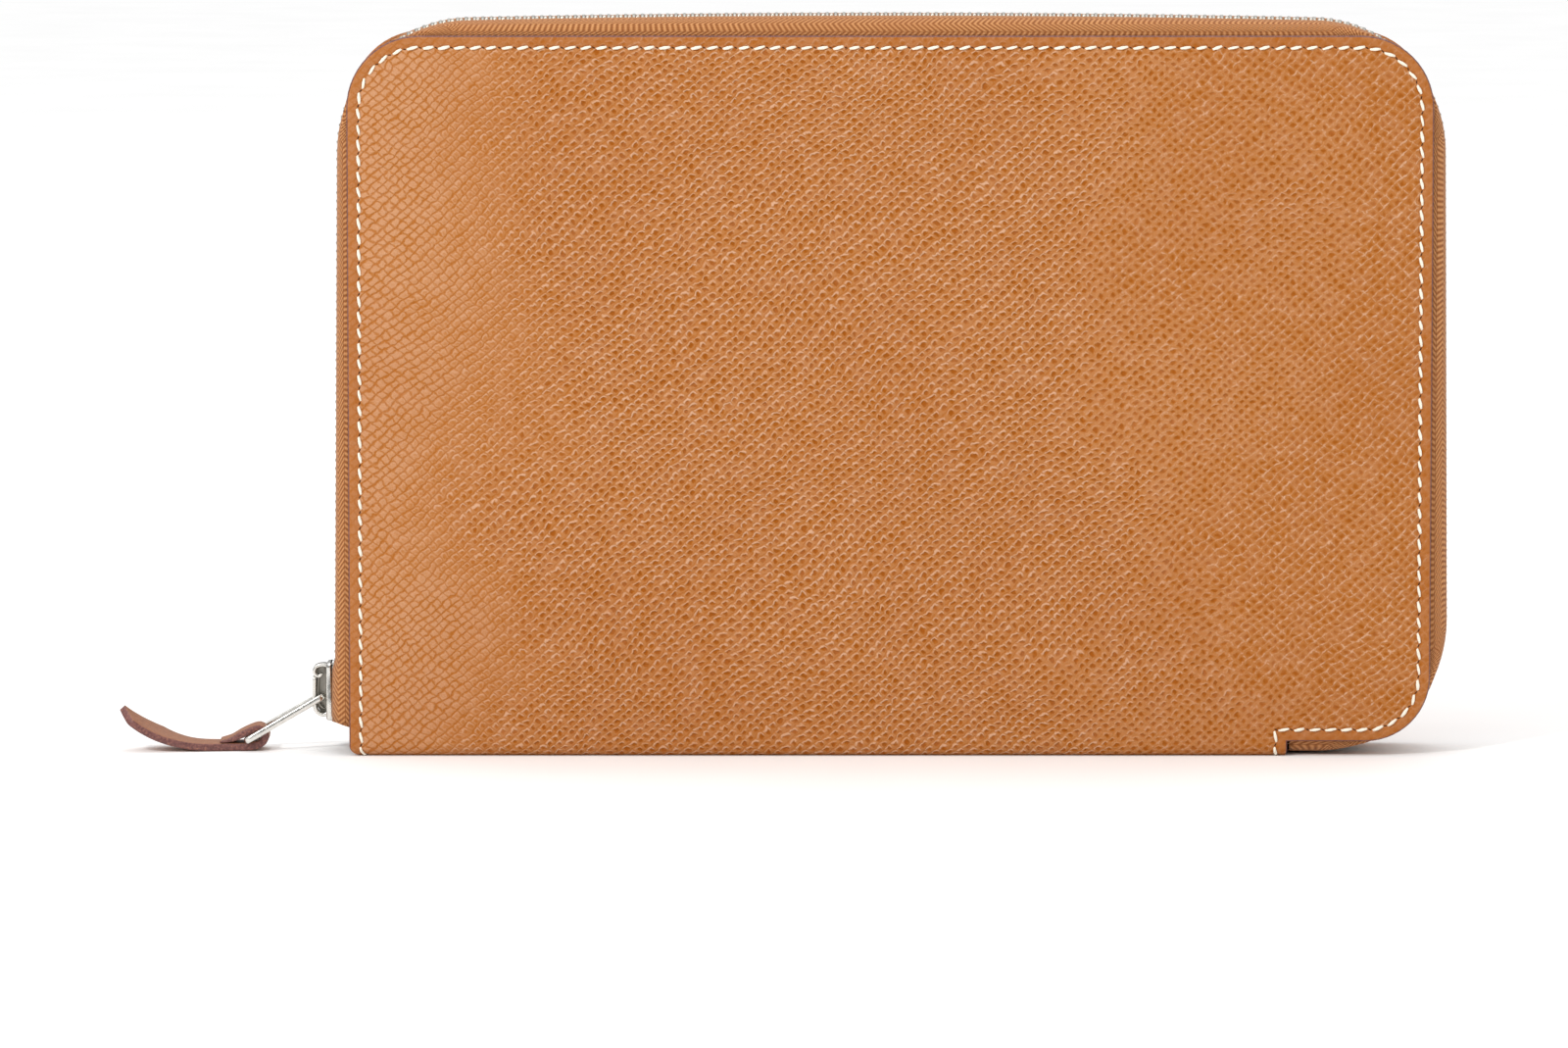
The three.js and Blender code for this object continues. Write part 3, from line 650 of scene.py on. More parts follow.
def two_sided(faces, count):
    """A sheet's outer faces, its inner ones, whose places follow, and its walls; then the walls' edges."""
    used = dict.fromkeys((f[k], f[(k + 1) % 3]) for f in faces for k in range(3))
    rim = [(a, b) for a, b in used if (b, a) not in used]
    inner = [tuple(i + count for i in reversed(f)) for f in faces]
    return faces + inner + [(b, a, a + count, b + count) for a, b in rim], rim


def skin_layout():
    """The unrolled leather's places, their distances from the cut edge, edges to keep, and outline."""
    rings = [inset_outline(d) for d in INSETS]
    points = [p for ring in rings for p in ring]
    insets = [d for d, ring in zip(INSETS, rings) for _ in ring]
    n = len(OUTLINE)
    edges = [(r * n + i, r * n + i + 1) for r in range(len(rings)) for i in range(n - 1)]
    columns = np.arange(LEFT + 6.5, RIGHT - 6, 2.3)
    rows = fold_rows(0, climb(TOP) - 6, 2.3)
    grid = np.array([(u, v) for v in rows[1:] for u in columns])
    inside = (grid[:, 0] < NOTCH_X) | (grid[:, 1] > climb(FLAP_Z))
    grid = grid[inside & (from_edge(grid) > 6.2)]
    cut_line = [(u, 0.0) for u in columns[::-1] if LEFT + 6.2 < u < NOTCH_X - 6.2]
    start = len(points)
    points += cut_line + [tuple(p) for p in grid]
    insets += [DEEP_IN] * len(cut_line) + list(from_edge(grid))
    loop = list(range(n)) + [r * n + n - 1 for r in range(1, len(rings))]
    loop += list(range(start, start + len(cut_line))) + [r * n for r in reversed(range(1, len(rings)))]
    return points, insets, edges, loop


DEEP_IN = 12.0  # the inset given to places far from every cut edge
SKIN_UV, SKIN_INSET, SKIN_FACES = triangulated(*skin_layout(), DEEP_IN)


def leather_skin(side, end):
    """One cover's leather with its half of the spine, cut along the middle of the spine."""
    u, v = SKIN_UV.T
    outer = skin_point(side, u, v, swell(u, v, SKIN_INSET))
    inner = skin_point(side, u, v, -LEATHER)
    faces, rim = two_sided(SKIN_FACES, len(u))
    face, paint, margin, inside = range(4)
    widest = [max(SKIN_INSET[i] for i in f) for f in SKIN_FACES]
    finish = [paint if w < 0.3 else margin if w < STITCH_INSET + 0.1 else face for w in widest]
    finish += [inside] * len(SKIN_FACES)
    finish += [face if abs(v[a]) < 1e-6 and abs(v[b]) < 1e-6 else paint for a, b in rim]
    pile = Pile()
    pile.add(np.concatenate([outer, inner]), faces, np.concatenate([SKIN_UV, SKIN_UV]), finish)
    skin = make(end + "_skin", pile, [GRAINED, PAINT, MARGIN, CALF])
    hang_on_fold(skin)
    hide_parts(end + "_leather", end + "_fold_strip", "spine_leather")


def hang_on_fold(piece):
    """Bakes the piece's placement into its mesh and returns it."""
    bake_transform(piece)
    return piece


def thread_stitch(pile, side, centre, direction, base, length, radius):
    """One stitch of two-ply thread on the unrolled leather, its ends sunk into their holes."""
    rings, uv = [], []
    sides = 8
    across = np.array([-direction[1], direction[0]])
    for s in np.linspace(-1, 1, 9):
        rise = base + 0.30 * (1 - abs(s) ** 3.2) - 0.32 * abs(s) ** 5
        size = radius * (1 - 0.42 * abs(s) ** 4)
        ring = []
        for k in range(sides):
            a = 2 * PI * k / sides
            ply = size * (1 + 0.13 * math.cos(2 * a - 5.2 * s))
            place = centre + direction * s * length / 2 + across * ply * math.cos(a)
            ring.append(skin_point(side, place[0], place[1], rise + 0.8 * ply * math.sin(a)))
            uv.append((s, a))
        rings.append(ring)
    pile.add(*loft(rings), uv)


def hole_mark(pile, side, centre, direction, base):
    """A slanted needle hole: a dark lens sunk in the leather, whose dark colour is painted shade standing
    for the hole's depth.
    """
    across = np.array([-direction[1], direction[0]])
    sides = 10
    rings, uv = [], []
    for size, lift in ((1.0, -0.05), (0.72, 0.035), (0.3, 0.05)):
        ring = []
        for k in range(sides):
            a = 2 * PI * k / sides
            place = centre + direction * 0.46 * size * math.cos(a) + across * 0.17 * size * math.sin(a)
            ring.append(skin_point(side, place[0], place[1], base + lift))
            uv.append(place)
        rings.append(ring)
    pile.add(*loft(rings), uv)


def turned(direction, degrees):
    """A direction turned counterclockwise."""
    a = math.radians(degrees)
    x, y = direction
    return np.array([x * math.cos(a) - y * math.sin(a), x * math.sin(a) + y * math.cos(a)])


def edge_stitching(side, name):
    """Saddle stitches all round a cover and over its half of the spine's ends."""
    line = inset_outline(STITCH_INSET)
    turn = int(np.argmax((np.abs(INWARD) > 0.5).all(1) & (OUTLINE[:, 0] < NOTCH_X + 0.1)))
    threads, holes = Pile(), Pile()
    base = -0.16
    for run in (line[: turn + 1], line[turn:]):
        dense, along = resample(run, 0.1)
        count = round(along[-1] / STITCH_PITCH)
        pitch = along[-1] / count
        heading = tangents(dense)
        for i in range(count):
            at = int((i + 0.5) * pitch / along[-1] * (len(dense) - 1))
            jitter = rng.normal(0, 1, 3)
            lean = turned(heading[at], 12 + 2.2 * jitter[0])
            length = STITCH_LENGTH * (1 + 0.04 * jitter[1])
            thread_stitch(threads, side, dense[at], lean, base, length, THREAD * (1 + 0.07 * jitter[2]))
            gap = int((i + 1.0) * pitch / along[-1] * (len(dense) - 1))
            if gap < len(dense) - 8:
                hole_mark(holes, side, dense[gap], turned(heading[gap], -34), base)
    # The hole marks carry painted shade for the needle holes.
    for suffix, pile, material in (("_stitches", threads, THREAD_WHITE), ("_needle_holes", holes, HOLE_SHADE)):
        piece = hang_on_fold(make(name + suffix, pile, [material]))


# ---------------------------------------------------------------- the main zip
def zip_stations():
    """Matching places on the leather's edge and on the chain, and the outward direction they share."""
    inset = 0.3
    left, right, top = LEFT + inset, RIGHT - inset, TOP - inset
    r, low, flap = TOP_RADIUS - inset, LOW_RADIUS - inset, FLAP_Z + inset
    ends = CHAIN_TOP - CHAIN_CROWN
    chain_left, chain_right = CHAIN_LEFT_LOW + CHAIN_LEAN, CHAIN_RIGHT_LOW - 0.9
    R = CHAIN_RADIUS
    stations = []

    def straight(edge_a, edge_b, chain_a, chain_b, degrees, count, bow=0.0, last=False):
        a = math.radians(degrees)
        for t in np.linspace(0, 1, count)[: None if last else -1]:
            edge = np.array(edge_a) * (1 - t) + np.array(edge_b) * t
            chain = np.array(chain_a) * (1 - t) + np.array(chain_b) * t + (0, bow * 4 * t * (1 - t))
            stations.append((edge, chain, np.array([math.cos(a), math.sin(a)])))

    def corner(edge_centre, edge_radius, chain_centre, start, end, count=22):
        for a in np.radians(np.linspace(start, end, count))[:-1]:
            out = np.array([math.cos(a), math.sin(a)])
            edge = np.array(edge_centre) + out * edge_radius
            stations.append((edge, np.array(chain_centre) + out * R, out))

    straight((left, 4.8), (left, top - r), (CHAIN_LEFT_LOW, 6.3), (chain_left, ends - R), 180, 56)
    corner((left + r, top - r), r, (chain_left + R, ends - R), 180, 90)
    straight((left + r, top), (right - r, top), (chain_left + R, ends), (chain_right - R, ends), 90, 76,
             CHAIN_CROWN)
    corner((right - r, top - r), r, (chain_right - R, ends - R), 90, 0)
    straight((right, top - r), (right, flap + low), (chain_right, ends - R),
             (CHAIN_RIGHT_LOW, CHAIN_BOTTOM + R), 0, 46)
    corner((right - low, flap + low), low, (CHAIN_RIGHT_LOW - R, CHAIN_BOTTOM + R), 0, -90)
    straight((right - low, flap), (NOTCH_X + 0.5, flap), (CHAIN_RIGHT_LOW - R, CHAIN_BOTTOM),
             (NOTCH_X + 0.5, CHAIN_BOTTOM), -90, 7, last=True)
    return stations


STATIONS = zip_stations()
CHAIN = np.array([s[1] for s in STATIONS])


def tape_profile(reach, beside_slider):
    """The tape across one station: places out from the leather's edge and out from the middle plane."""
    proud, cord = (0.95, 4.0) if beside_slider else (0.4, 2.2)
    knots = (-0.3, 9.42), (0.66 * reach, 9.4), (reach + proud, 8.6), (reach + proud, 5.2)
    line = [(-5.0, 9.45), (-2.5, 9.45), knots[0]]
    for t in np.linspace(0, 1, 11)[1:]:
        weights = ((1 - t) ** 3, 3 * t * (1 - t) ** 2, 3 * t * t * (1 - t), t**3)
        line.append(tuple(sum(w * p[k] for w, p in zip(weights, knots)) for k in range(2)))
    return np.array(line + [(reach, cord)])


def zip_tape(side, name, body):
    """Woven tape from under the leather's edge, bulging out to the cord that holds the teeth."""
    rings, uv = [], []
    for (edge, chain, out), distance in zip(STATIONS, distances(CHAIN)):
        reach = float((chain - edge) @ out)
        shift = (chain - edge) - out * reach
        line = tape_profile(reach, side == FRONT and chain[0] < 0 and chain[1] < SLIDER_HIGH[2] + 0.4)
        normal = tangents(line) @ np.array([[0, -1], [1, 0]])
        share = np.clip((line[:, 0] - line[0, 0]) / max(reach + 5, 1.0), 0, 1)
        across = distances(line)
        ring = []
        for sign, order in ((1, range(len(line))), (-1, reversed(range(len(line))))):
            offset = line + normal * TAPE_HALF * sign
            for k in order:
                flat = edge + out * offset[k, 0] + shift * share[k] ** 2
                ring.append((flat[0], side * offset[k, 1], flat[1]))
                uv.append((distance, across[k]))
        rings.append(ring)
    fitted(name + "_woven", lofted(rings, uv), [TAPE], body, "zip_tape", name)


TOOTH_PROFILE = [
    # (reach from the middle plane, half height, half width along the chain)
    (3.15, 0.50, 0.22),
    (2.95, 0.86, 0.34),
    (2.10, 0.97, 0.38),
    (1.35, 0.93, 0.37),
    (0.80, 0.70, 0.34),
    (0.10, 0.62, 0.31),
    (-0.28, 0.50, 0.24),
    (-0.42, 0.26, 0.12),
]


def add_tooth(pile, origin, along, out, toward, slim=1.0):
    """One cast tooth: legs clamped round the tape's cord, waist, and a rounded head past the middle."""
    rings = []
    for reach, height, width in TOOTH_PROFILE:
        section = rounded_rect(width, height * slim, min(width, height * slim) * 0.75)
        rings.append([origin + toward * reach + along * u + out * v for u, v in section])
    pile.add(*loft(rings))


def chain_teeth(side, name, body):
    """Every tooth of one row, half a pitch apart from the other row's."""
    line, along = resample(CHAIN, 0.05)
    heading = tangents(line)
    even = np.ones(41) / 41
    heading = [np.convolve(np.pad(heading[:, k], 20, "edge"), even, "valid") for k in (0, 1)]
    heading = unit(np.stack(heading, 1))
    place = along[np.argmax(line[:, 1] > SLIDER_HIGH[2] + 0.5)]
    if side == BACK:
        start = along[np.argmax(line[:, 1] > SLIDER_Z - 3.0)]
        place -= (math.floor((place - start) / TOOTH_PITCH) - 0.5) * TOOTH_PITCH
    pile = Pile()
    while place < along[-1] - LAST_TOOTH:
        i = int(place / along[-1] * (len(line) - 1))
        (x, z), (dx, dz) = line[i], heading[i]
        add_tooth(pile, *np.array([[x, 0, z], [dx, 0, dz], [-dz, 0, dx], [0, side, 0]]))
        place += TOOTH_PITCH
    fitted(name + "_cast", pile, [TOOTH_METAL], body, "nickel", name)


def folded_stop(name, node, body):
    """A small staple bent round the tape's cord: its CAD block with rounded, dented faces."""
    low, high = corners(node)
    centre, half = (low + high) / 2, (high - low) / 2
    longest = int(np.argmax(half))
    others = [k for k in range(3) if k != longest]
    rings = []
    for t in (-1, -0.9, -0.35, 0, 0.35, 0.9, 1):
        size = 0.72 if abs(t) == 1 else (0.93 if abs(t) < 0.3 else 1.0)
        section = rounded_rect(half[others[0]] * size, half[others[1]] * size, min(half[others]) * 0.5, 4)
        ring = np.tile(centre, (len(section), 1))
        ring[:, longest] += t * half[longest]
        ring[:, others] += section
        rings.append(ring)
    fitted(name, lofted(rings), [NICKEL], body, "nickel", node)


# ---------------------------------------------------------------- slider, loop and tab
def bevelled_plate(pile, outline, low, high, bevel, place):
    """A plate with rounded rims from a flat outline; place turns (w, l, t) into the wallet's frame."""
    outline = np.asarray(outline, float)
    middle = outline.mean(0)
    span = np.abs(outline - middle).max(0)
    rim = [(bevel, low), (bevel * 0.3, low + bevel * 0.3), (0, low + bevel)]
    rim += [(0, high - bevel), (bevel * 0.3, high - bevel * 0.3), (bevel, high)]
    rings = []
    for inset, t in rim:
        ring = middle + (outline - middle) * (1 - inset / span)
        rings.append([place(w, l, t) for w, l in ring])
    pile.add(*loft(rings))


def strap(pile, path, half_width, thickness, place, radius=0.2):
    """A flat strip bent along a path in l and t, as wide as it is told across w."""
    section = rounded_rect(half_width, thickness / 2, min(radius, thickness * 0.45), 4)
    rings = []
    for (l, t), (dl, dt) in zip(path, tangents(path)):
        rings.append([place(w, l - dt * h, t + dl * h) for w, h in section])
    pile.add(*loft(rings))


def channel(pile, size, side, lips, place):
    """One of a slider's two shells: a plate whose long edges curl over toward the chain."""
    half, wall, r = size["length"] / 2, 0.7, 0.75
    face = size["outer"] if side > 0 else size["inner"]
    nose_at = [-half, -half + 1.2, -half + 3.4, half - 2.5, half]
    ends = np.array([half - 0.4, half - 0.12, half])
    rings = []
    for l in np.concatenate([-ends[::-1], np.linspace(-half + 1.0, half - 1.0, 14), ends]):
        shrink = float(np.interp(half - abs(l), [0, 0.12, 0.4], [0.4, 0.14, 0]))
        nose = float(np.interp(l, nose_at, [0.8, 1.0, 1.0, 0, -0.12]))
        w = size["tail"] + (size["nose"] - size["tail"]) * nose - shrink
        top = face - shrink
        lip = float(np.interp(l, [-half, -half + 2, 0, half], lips))
        deep = max(lip, size["depth"])
        ring = [(-w, lip), (-w, top - r)]
        for a in np.linspace(0.3, PI / 2, 5):
            ring.append((-w + r - r * math.cos(a), top - r + r * math.sin(a)))
        for a in np.linspace(0, PI / 2 - 0.3, 5):
            ring.append((w - r + r * math.sin(a), top - r + r * math.cos(a)))
        ring += [(w, top - r), (w, lip), (w - wall, lip)]
        ring += [(w - wall, deep), (-w + wall, deep), (-w + wall, lip)]
        rings.append([place(x, l, side * t) for x, t in ring])
    pile.add(*loft(rings))


def build_slider(place, body, node, prefix, size):
    """Two curled shells, and between them the post and a plate across the chain's passage, both in darker
    nickel as painted shade.
    """
    shells, core = Pile(), Pile()
    channel(shells, size, 1, size["lips"], place)
    channel(shells, size, -1, size["inner_lips"], place)
    half = size["length"] / 2
    post = [(0, 0.5), (0.9, 1.9), (0.8, 3.4), (0, 4.4), (-0.8, 3.4), (-0.9, 1.9)]
    bevelled_plate(core, [(w, l - half) for w, l in post], -size["depth"], size["depth"], 0.05, place)
    # A plate across the chain's passage, in darker nickel: painted shade where the slot would show
    # through.
    low, high = 4.6 - half, half - 0.7
    shade_web = [(0.5, low), (0.5, high), (-0.5, high), (-0.5, low)]
    bevelled_plate(core, shade_web, 1.0, size["depth"] + 0.5, 0.05, place)
    fitted(prefix + "_shells", shells, [NICKEL], body, "nickel", node)
    # Post and plate in darker nickel: painted shade inside the slider.
    fitted(prefix + "_post", core, [PAINTED_SHADE_NICKEL], body, "nickel")


def main_cap():
    """The bridge over the main slider: hooked at the tail, and a strap that comes down at the nose."""
    half, foot, width = MAIN_SLIDER["length"] / 2, MAIN_SLIDER["outer"], MAIN_SLIDER["cap_width"] / 2
    crown = foot + MAIN_SLIDER["cap"]
    hook = [(half - 0.7, foot - 0.2), (half - 0.6, foot + 0.9), (half - 1.0, crown - 0.7),
            (half - 1.9, crown - 0.35), (half - 2.7, crown - 0.8), (half - 2.75, crown - 1.45),
            (half - 2.3, crown - 1.75)]
    bridge = [(half - 3.0, crown - 0.4), (half - 5.0, crown - 0.36), (0, crown - 0.36),
              (-half + 3.0, crown - 0.42), (-half + 1.7, crown - 0.75), (-half + 1.0, crown - 1.5),
              (-half + 0.9, foot + 0.5), (-half + 1.2, foot - 0.2)]
    pile = Pile()
    strap(pile, spline(hook, 24), width, 0.62, on_left_side)
    strap(pile, spline(bridge, 30), width, 0.72, on_left_side)
    fitted("slider_bridge", pile, [NICKEL], "zip_slider", "nickel", "slider_cap")
    # The side plate under the bridge, in darker nickel: painted shade.
    cheek = Pile()
    outline = [(half - 0.9, foot), (half - 1.0, crown - 0.9), (half - 2.0, crown - 0.6),
               (-half + 2.6, crown - 0.6), (-half + 1.3, crown - 1.6), (-half + 1.2, foot)]
    bevelled_plate(cheek, outline, 0.75, 1.15, 0.08, lambda l, t, w: on_left_side(-w, l, t))
    fitted("slider_cheek", cheek, [PAINTED_SHADE_NICKEL], "zip_slider", "nickel")


def on_left_side(w, l, t):
    """A slider's own (across, along, outward) in the wallet's frame."""
    return (CHAIN_LEFT_LOW - t, -w, SLIDER_Z + l)


MAIN_SLIDER = {
    "length": SLIDER_LENGTH, "tail": 3.3, "nose": 3.75, "outer": 2.45, "inner": 2.2, "depth": 1.3,
    "cap": 2.75, "cap_width": 3.0, "lips": [0.0, 0.25, 0.85, 1.6], "inner_lips": [-0.2, -0.4, -0.8, -1.2],
}


def lock_spring():
    """The flat spring under the cap, bent down to its claw."""
    crown = MAIN_SLIDER["outer"] + MAIN_SLIDER["cap"]
    bends = [(3.0, -1.25), (1.0, -1.05), (-1.5, -1.05), (-3.0, -1.5), (-3.6, -2.4)]
    pile = Pile()
    strap(pile, spline([(l, crown + t) for l, t in bends], 20), 0.85, 0.25, on_left_side, 0.1)
    # Darker nickel: painted shade under the cap.
    fitted("lock_spring_leaf", pile, [PAINTED_SHADE_NICKEL], "zip_slider", "nickel", "slider_lock_spring")


def wire_loop(name, body, node, start, along, side, length, near, far, corner, half_v, half_n):
    """A closed loop of flattened wire: near and far are its half widths at the two ends."""
    slope = (far - near) / length
    at_near, at_far = near + slope * corner, far - slope * corner
    legs = [
        ((0, -near + corner), (0, near - corner), (corner, at_near), (0, near)),
        ((corner, at_near), (length - corner, at_far), (length, far - corner), (length, far)),
        ((length, far - corner), (length, -far + corner), (length - corner, -at_far), (length, -far)),
        ((length - corner, -at_far), (corner, -at_near), (0, -near + corner), (0, -near)),
    ]
    path = []
    for a, b, c, knee in np.array(legs, float):
        path += [a * (1 - t) + b * t for t in np.linspace(0, 1, 8)[:-1]]
        path += [b * (1 - t) ** 2 + 2 * knee * t * (1 - t) + c * t * t for t in np.linspace(0, 1, 7)[:-1]]
    path = np.array(path)
    normal = np.cross(along, side)
    section = rounded_rect(half_v, half_n, min(half_v, half_n) * 0.6, 4)
    rings = []
    for (u, v), (du, dv) in zip(path, tangents(path, closed=True)):
        across = along * -dv + side * du
        centre = start + along * u + side * v
        rings.append([centre + across * a + normal * b for a, b in section])
    fitted(name, lofted(rings, around=True), [NICKEL], body, "nickel", node)


TAB_FLOOR, TAB_THICK = 0.15, 1.35


def tab_path(bar):
    """The tab's middle line in x and z: its curled tip, along the floor, round the wire's bar and back."""
    mid = TAB_FLOOR + TAB_THICK / 2
    bend, flat_end, sweep = 22.6 - TAB_THICK / 2, bar - 7.7, 0.86
    angles = np.linspace(sweep, 0, 26)
    curl = [(flat_end - bend * math.sin(a), mid + bend * (1 - math.cos(a))) for a in angles]
    fold = [(-7.7, 0), (-4.0, 0), (0.8, 0.05), (3.0, 0.85), (3.55, 2.3), (2.5, 3.55), (1.0, 3.3),
            (-1.2, 2.3), (-3.1, 1.42), (-5.3, 0.95)]
    fold = spline([(bar + x, mid + z) for x, z in fold], 60)
    return resample(np.array(curl + list(fold[1:])), 0.45)


def tab_section(s, half):
    """The strip's outline at s from its pointed tip: five places round each edge, three on each face."""
    width = np.interp(s, [0, 9, 24, 30, 60], [5.1, 5.0, 3.35, 3.2, 3.2])
    apex, near_end, far_end = -1.3, 2.9, 9.0  # the point's place, and where its two slants finish
    low = apex + (-width - apex) * min(1, s / near_end)
    high = apex + 0.25 + (width - apex) * min(1, s / far_end)
    edge = [(0.12, 1.0), (0, 0.75), (-0.05, 0), (0, -0.75), (0.12, -1.0)]
    rim = [(low + inset, -half * h) for inset, h in edge]
    top = [(low + (high - low) * k, half) for k in (0.25, 0.5, 0.75)]
    far = [(high - inset, half * h) for inset, h in edge]
    under = [(low + (high - low) * k, -half) for k in (0.75, 0.5, 0.25)]
    return rim + top + far + under


def pull_tab():
    """Grained strip with painted edges, turned back over the wire, curling and twisting up to a point."""
    path, along = tab_path(joint_point("pull_tab_swing")[0])
    rings, uv = [], []
    for (x, z), (dx, dz), s in zip(path, tangents(path), along):
        roll = 0.13 * (1 - smoothstep(s, 0, 16))
        half = TAB_THICK / 2 * np.interp(along[-1] - s, [0, 4.5], [0.32, 1.0])
        ring = []
        for y, n in tab_section(s, half):
            lift = n + roll * y
            ring.append((x - dz * lift, y, z + dx * lift))
            uv.append((s, y))
        rings.append(ring)
    verts, faces = loft(rings)
    # Of each ring's sixteen faces, four lie round either edge, and the strip's two ends close it.
    finish = [int(i % 8 < 4) for i in range(len(faces) - 2)] + [1, 1]
    pile = Pile()
    pile.add(verts, faces, uv, finish)
    fitted("pull_tab_strip", pile, [TAB, PAINT], "pull_leather", "outer_leather", "pull_tab")


# ---------------------------------------------------------------- the inside
def panel_outline(low, high, radius=3, base_radius=8):
    """A panel's outline in x and z, counterclockwise, with its corners rounded."""
    (x0, z0), (x1, z1) = low, high
    r, base = radius, base_radius
    return np.array(arcs([
        (x1 - base, z0 + base, base, -90), (x1 - r, z1 - r, r, 0), (x0 + r, z1 - r, r, 90),
        (x0 + base, z0 + base, base, 180),
    ], 9))


def lining_outline(inset, bottom):
    """The cover's outline pulled in by inset, counterclockwise in x and z."""
    left, right, top = LEFT + inset, RIGHT - inset, TOP - inset
    r, low = TOP_RADIUS - inset, LOW_RADIUS - inset
    flap = FLAP_Z + inset
    points = [(left, bottom), (NOTCH_X - inset, bottom), (NOTCH_X - inset, flap)]
    turns = (right - low, flap + low, low, -90), (right - r, top - r, r, 0), (left + r, top - r, r, 90)
    return np.array(points + arcs(turns, 12))


def in_window(place, window, margin=0):
    """Whether a place in x and z lies in a window, or within a margin round it."""
    if not window:
        return False
    (x0, z0), (x1, z1) = window
    return x0 - margin < place[0] < x1 + margin and z0 - margin < place[1] < z1 + margin


def window_ring(window, out):
    """Sixteen places round a window, out from its edge."""
    (x0, z0), (x1, z1) = np.array(window) + [[-out], [out]]
    ring = np.array([(x0, z0), (x1, z0), (x1, z1), (x0, z1)])
    return [ring[i] * (1 - t) + ring[(i + 1) % 4] * t for i in range(4) for t in (0, 0.25, 0.5, 0.75)]


def sheet_layout(outline, window):
    """Places on a sheet, how far each lies from its cut edges, and the edges to keep."""
    normal = np.roll(outline, -1, 0) - np.roll(outline, 1, 0)
    inward = unit(np.stack([-normal[:, 1], normal[:, 0]], 1))
    rings = [(d, outline + inward * d) for d in (0, 0.08, 0.25, 0.8, 2.0)]
    if window:
        rings += [(d, window_ring(window, d)) for d in (0, 0.08, 0.25, 0.8)]
    points, insets, edges = [], [], []
    for d, ring in rings:
        start, n = len(points), len(ring)
        points += [tuple(p) for p in ring]
        insets += [d] * n
        edges += [(start + i, start + (i + 1) % n) for i in range(n)]
    low, high = outline.min(0), outline.max(0)
    for x in np.arange(low[0] + 5, high[0] - 4, 9.0):
        for z in np.arange(low[1] + 5, high[1] - 4, 9.0):
            clear = np.linalg.norm(outline - (x, z), axis=1).min() > 3.5
            if clear and not in_window((x, z), window, 3):
                points.append((x, z))
                insets.append(SHEET_MIDDLE)
    return points, insets, edges


SHEET_MIDDLE = 6.0  # the inset given to places away from a sheet's edges


def sheet_piece(name, body, node, outline, material=CALF, slot="inner_leather", window=None):
    """A leather or cloth sheet with rounded rims where its CAD node is. Returns its inner face's y."""
    low, high = corners(node)
    outer_y, inner_y = (low[1], high[1]) if high[1] < 0 else (high[1], low[1])
    points, insets, edges = sheet_layout(outline, window)
    flat, inset, faces = triangulated(points, insets, edges, list(range(len(outline))), SHEET_MIDDLE)
    faces = [f for f in faces if not in_window(flat[list(f)].mean(0), window)]
    soft = np.interp(inset, [0, 0.08, 0.25], [0.32, 0.1, 0.0]) * (inner_y - outer_y)
    outer = np.stack([flat[:, 0], outer_y + soft, flat[:, 1]], 1)
    inner = np.stack([flat[:, 0], inner_y - soft, flat[:, 1]], 1)
    pile = Pile()
    pile.add(np.concatenate([outer, inner]), two_sided(faces, len(flat))[0], np.concatenate([flat, flat]))
    fitted(name, pile, [material], body, slot, node)
    return inner_y


def panel(name, body, node, **options):
    """A pocket's flat sheet. Returns its CAD node's corners and its inner face's y."""
    low, high = corners(node)
    outline = panel_outline((low[0], low[2]), (high[0], high[2]))
    return low, high, sheet_piece(name, body, node, outline, **options)


def seam(pile, line, y):
    """A row of machine stitches along a line in x and z, on a face at y that looks to the middle plane."""
    pitch, length, radius = 2.6, 1.9, 0.17
    dense, along = resample(line, 0.2)
    heading = tangents(dense)
    count = max(1, int(along[-1] / pitch))
    up = np.array([0, -np.sign(y), 0])
    for i in range(count):
        at = int((i + 0.5) / count * (len(dense) - 1))
        t = np.array([heading[at, 0], 0, heading[at, 1]])
        across = np.array([-t[2], 0, t[0]])
        rings = []
        for s in (-1, -0.85, -0.4, 0, 0.4, 0.85, 1):
            rise = 0.12 * (1 - abs(s) ** 3) - 0.14 * abs(s) ** 5
            centre = np.array([dense[at, 0], y, dense[at, 1]]) + t * s * length / 2 + up * rise
            size = radius * (1 - 0.4 * abs(s) ** 4)
            angles = np.arange(6) * PI / 3
            rings.append([centre + across * size * math.cos(a) + up * size * math.sin(a) for a in angles])
        pile.add(*loft(rings))


def level_seam(pile, low, high, inset, z, y):
    """A seam straight across a panel at height z."""
    seam(pile, [(low[0] + inset, z), (high[0] - inset, z)], y)


def linings():
    """The covers' linings and the spine's."""
    for cover in ("front", "back"):
        outline = lining_outline(2.5, corners(cover + "_lining")[0][2])
        sheet_piece(cover + "_lining_sheet", cover + "_cover", cover + "_lining", outline)
    low, high = corners("spine_lining")
    middle, half = (low + high) / 2, (high - low) / 2
    rings = []
    for x in np.linspace(low[0], high[0], 40):
        pinch = 0.15 if x in (low[0], high[0]) else 0.0
        section = rounded_rect(half[1] - pinch, half[2] - pinch * 0.5, 0.2, 4)
        rings.append([(x, middle[1] + a, middle[2] + b) for a, b in section])
    uv = [(v[0], v[1]) for ring in rings for v in ring]
    fitted("spine_lining_strip", lofted(rings, uv), [CALF], "spine", "inner_leather", "spine_lining")


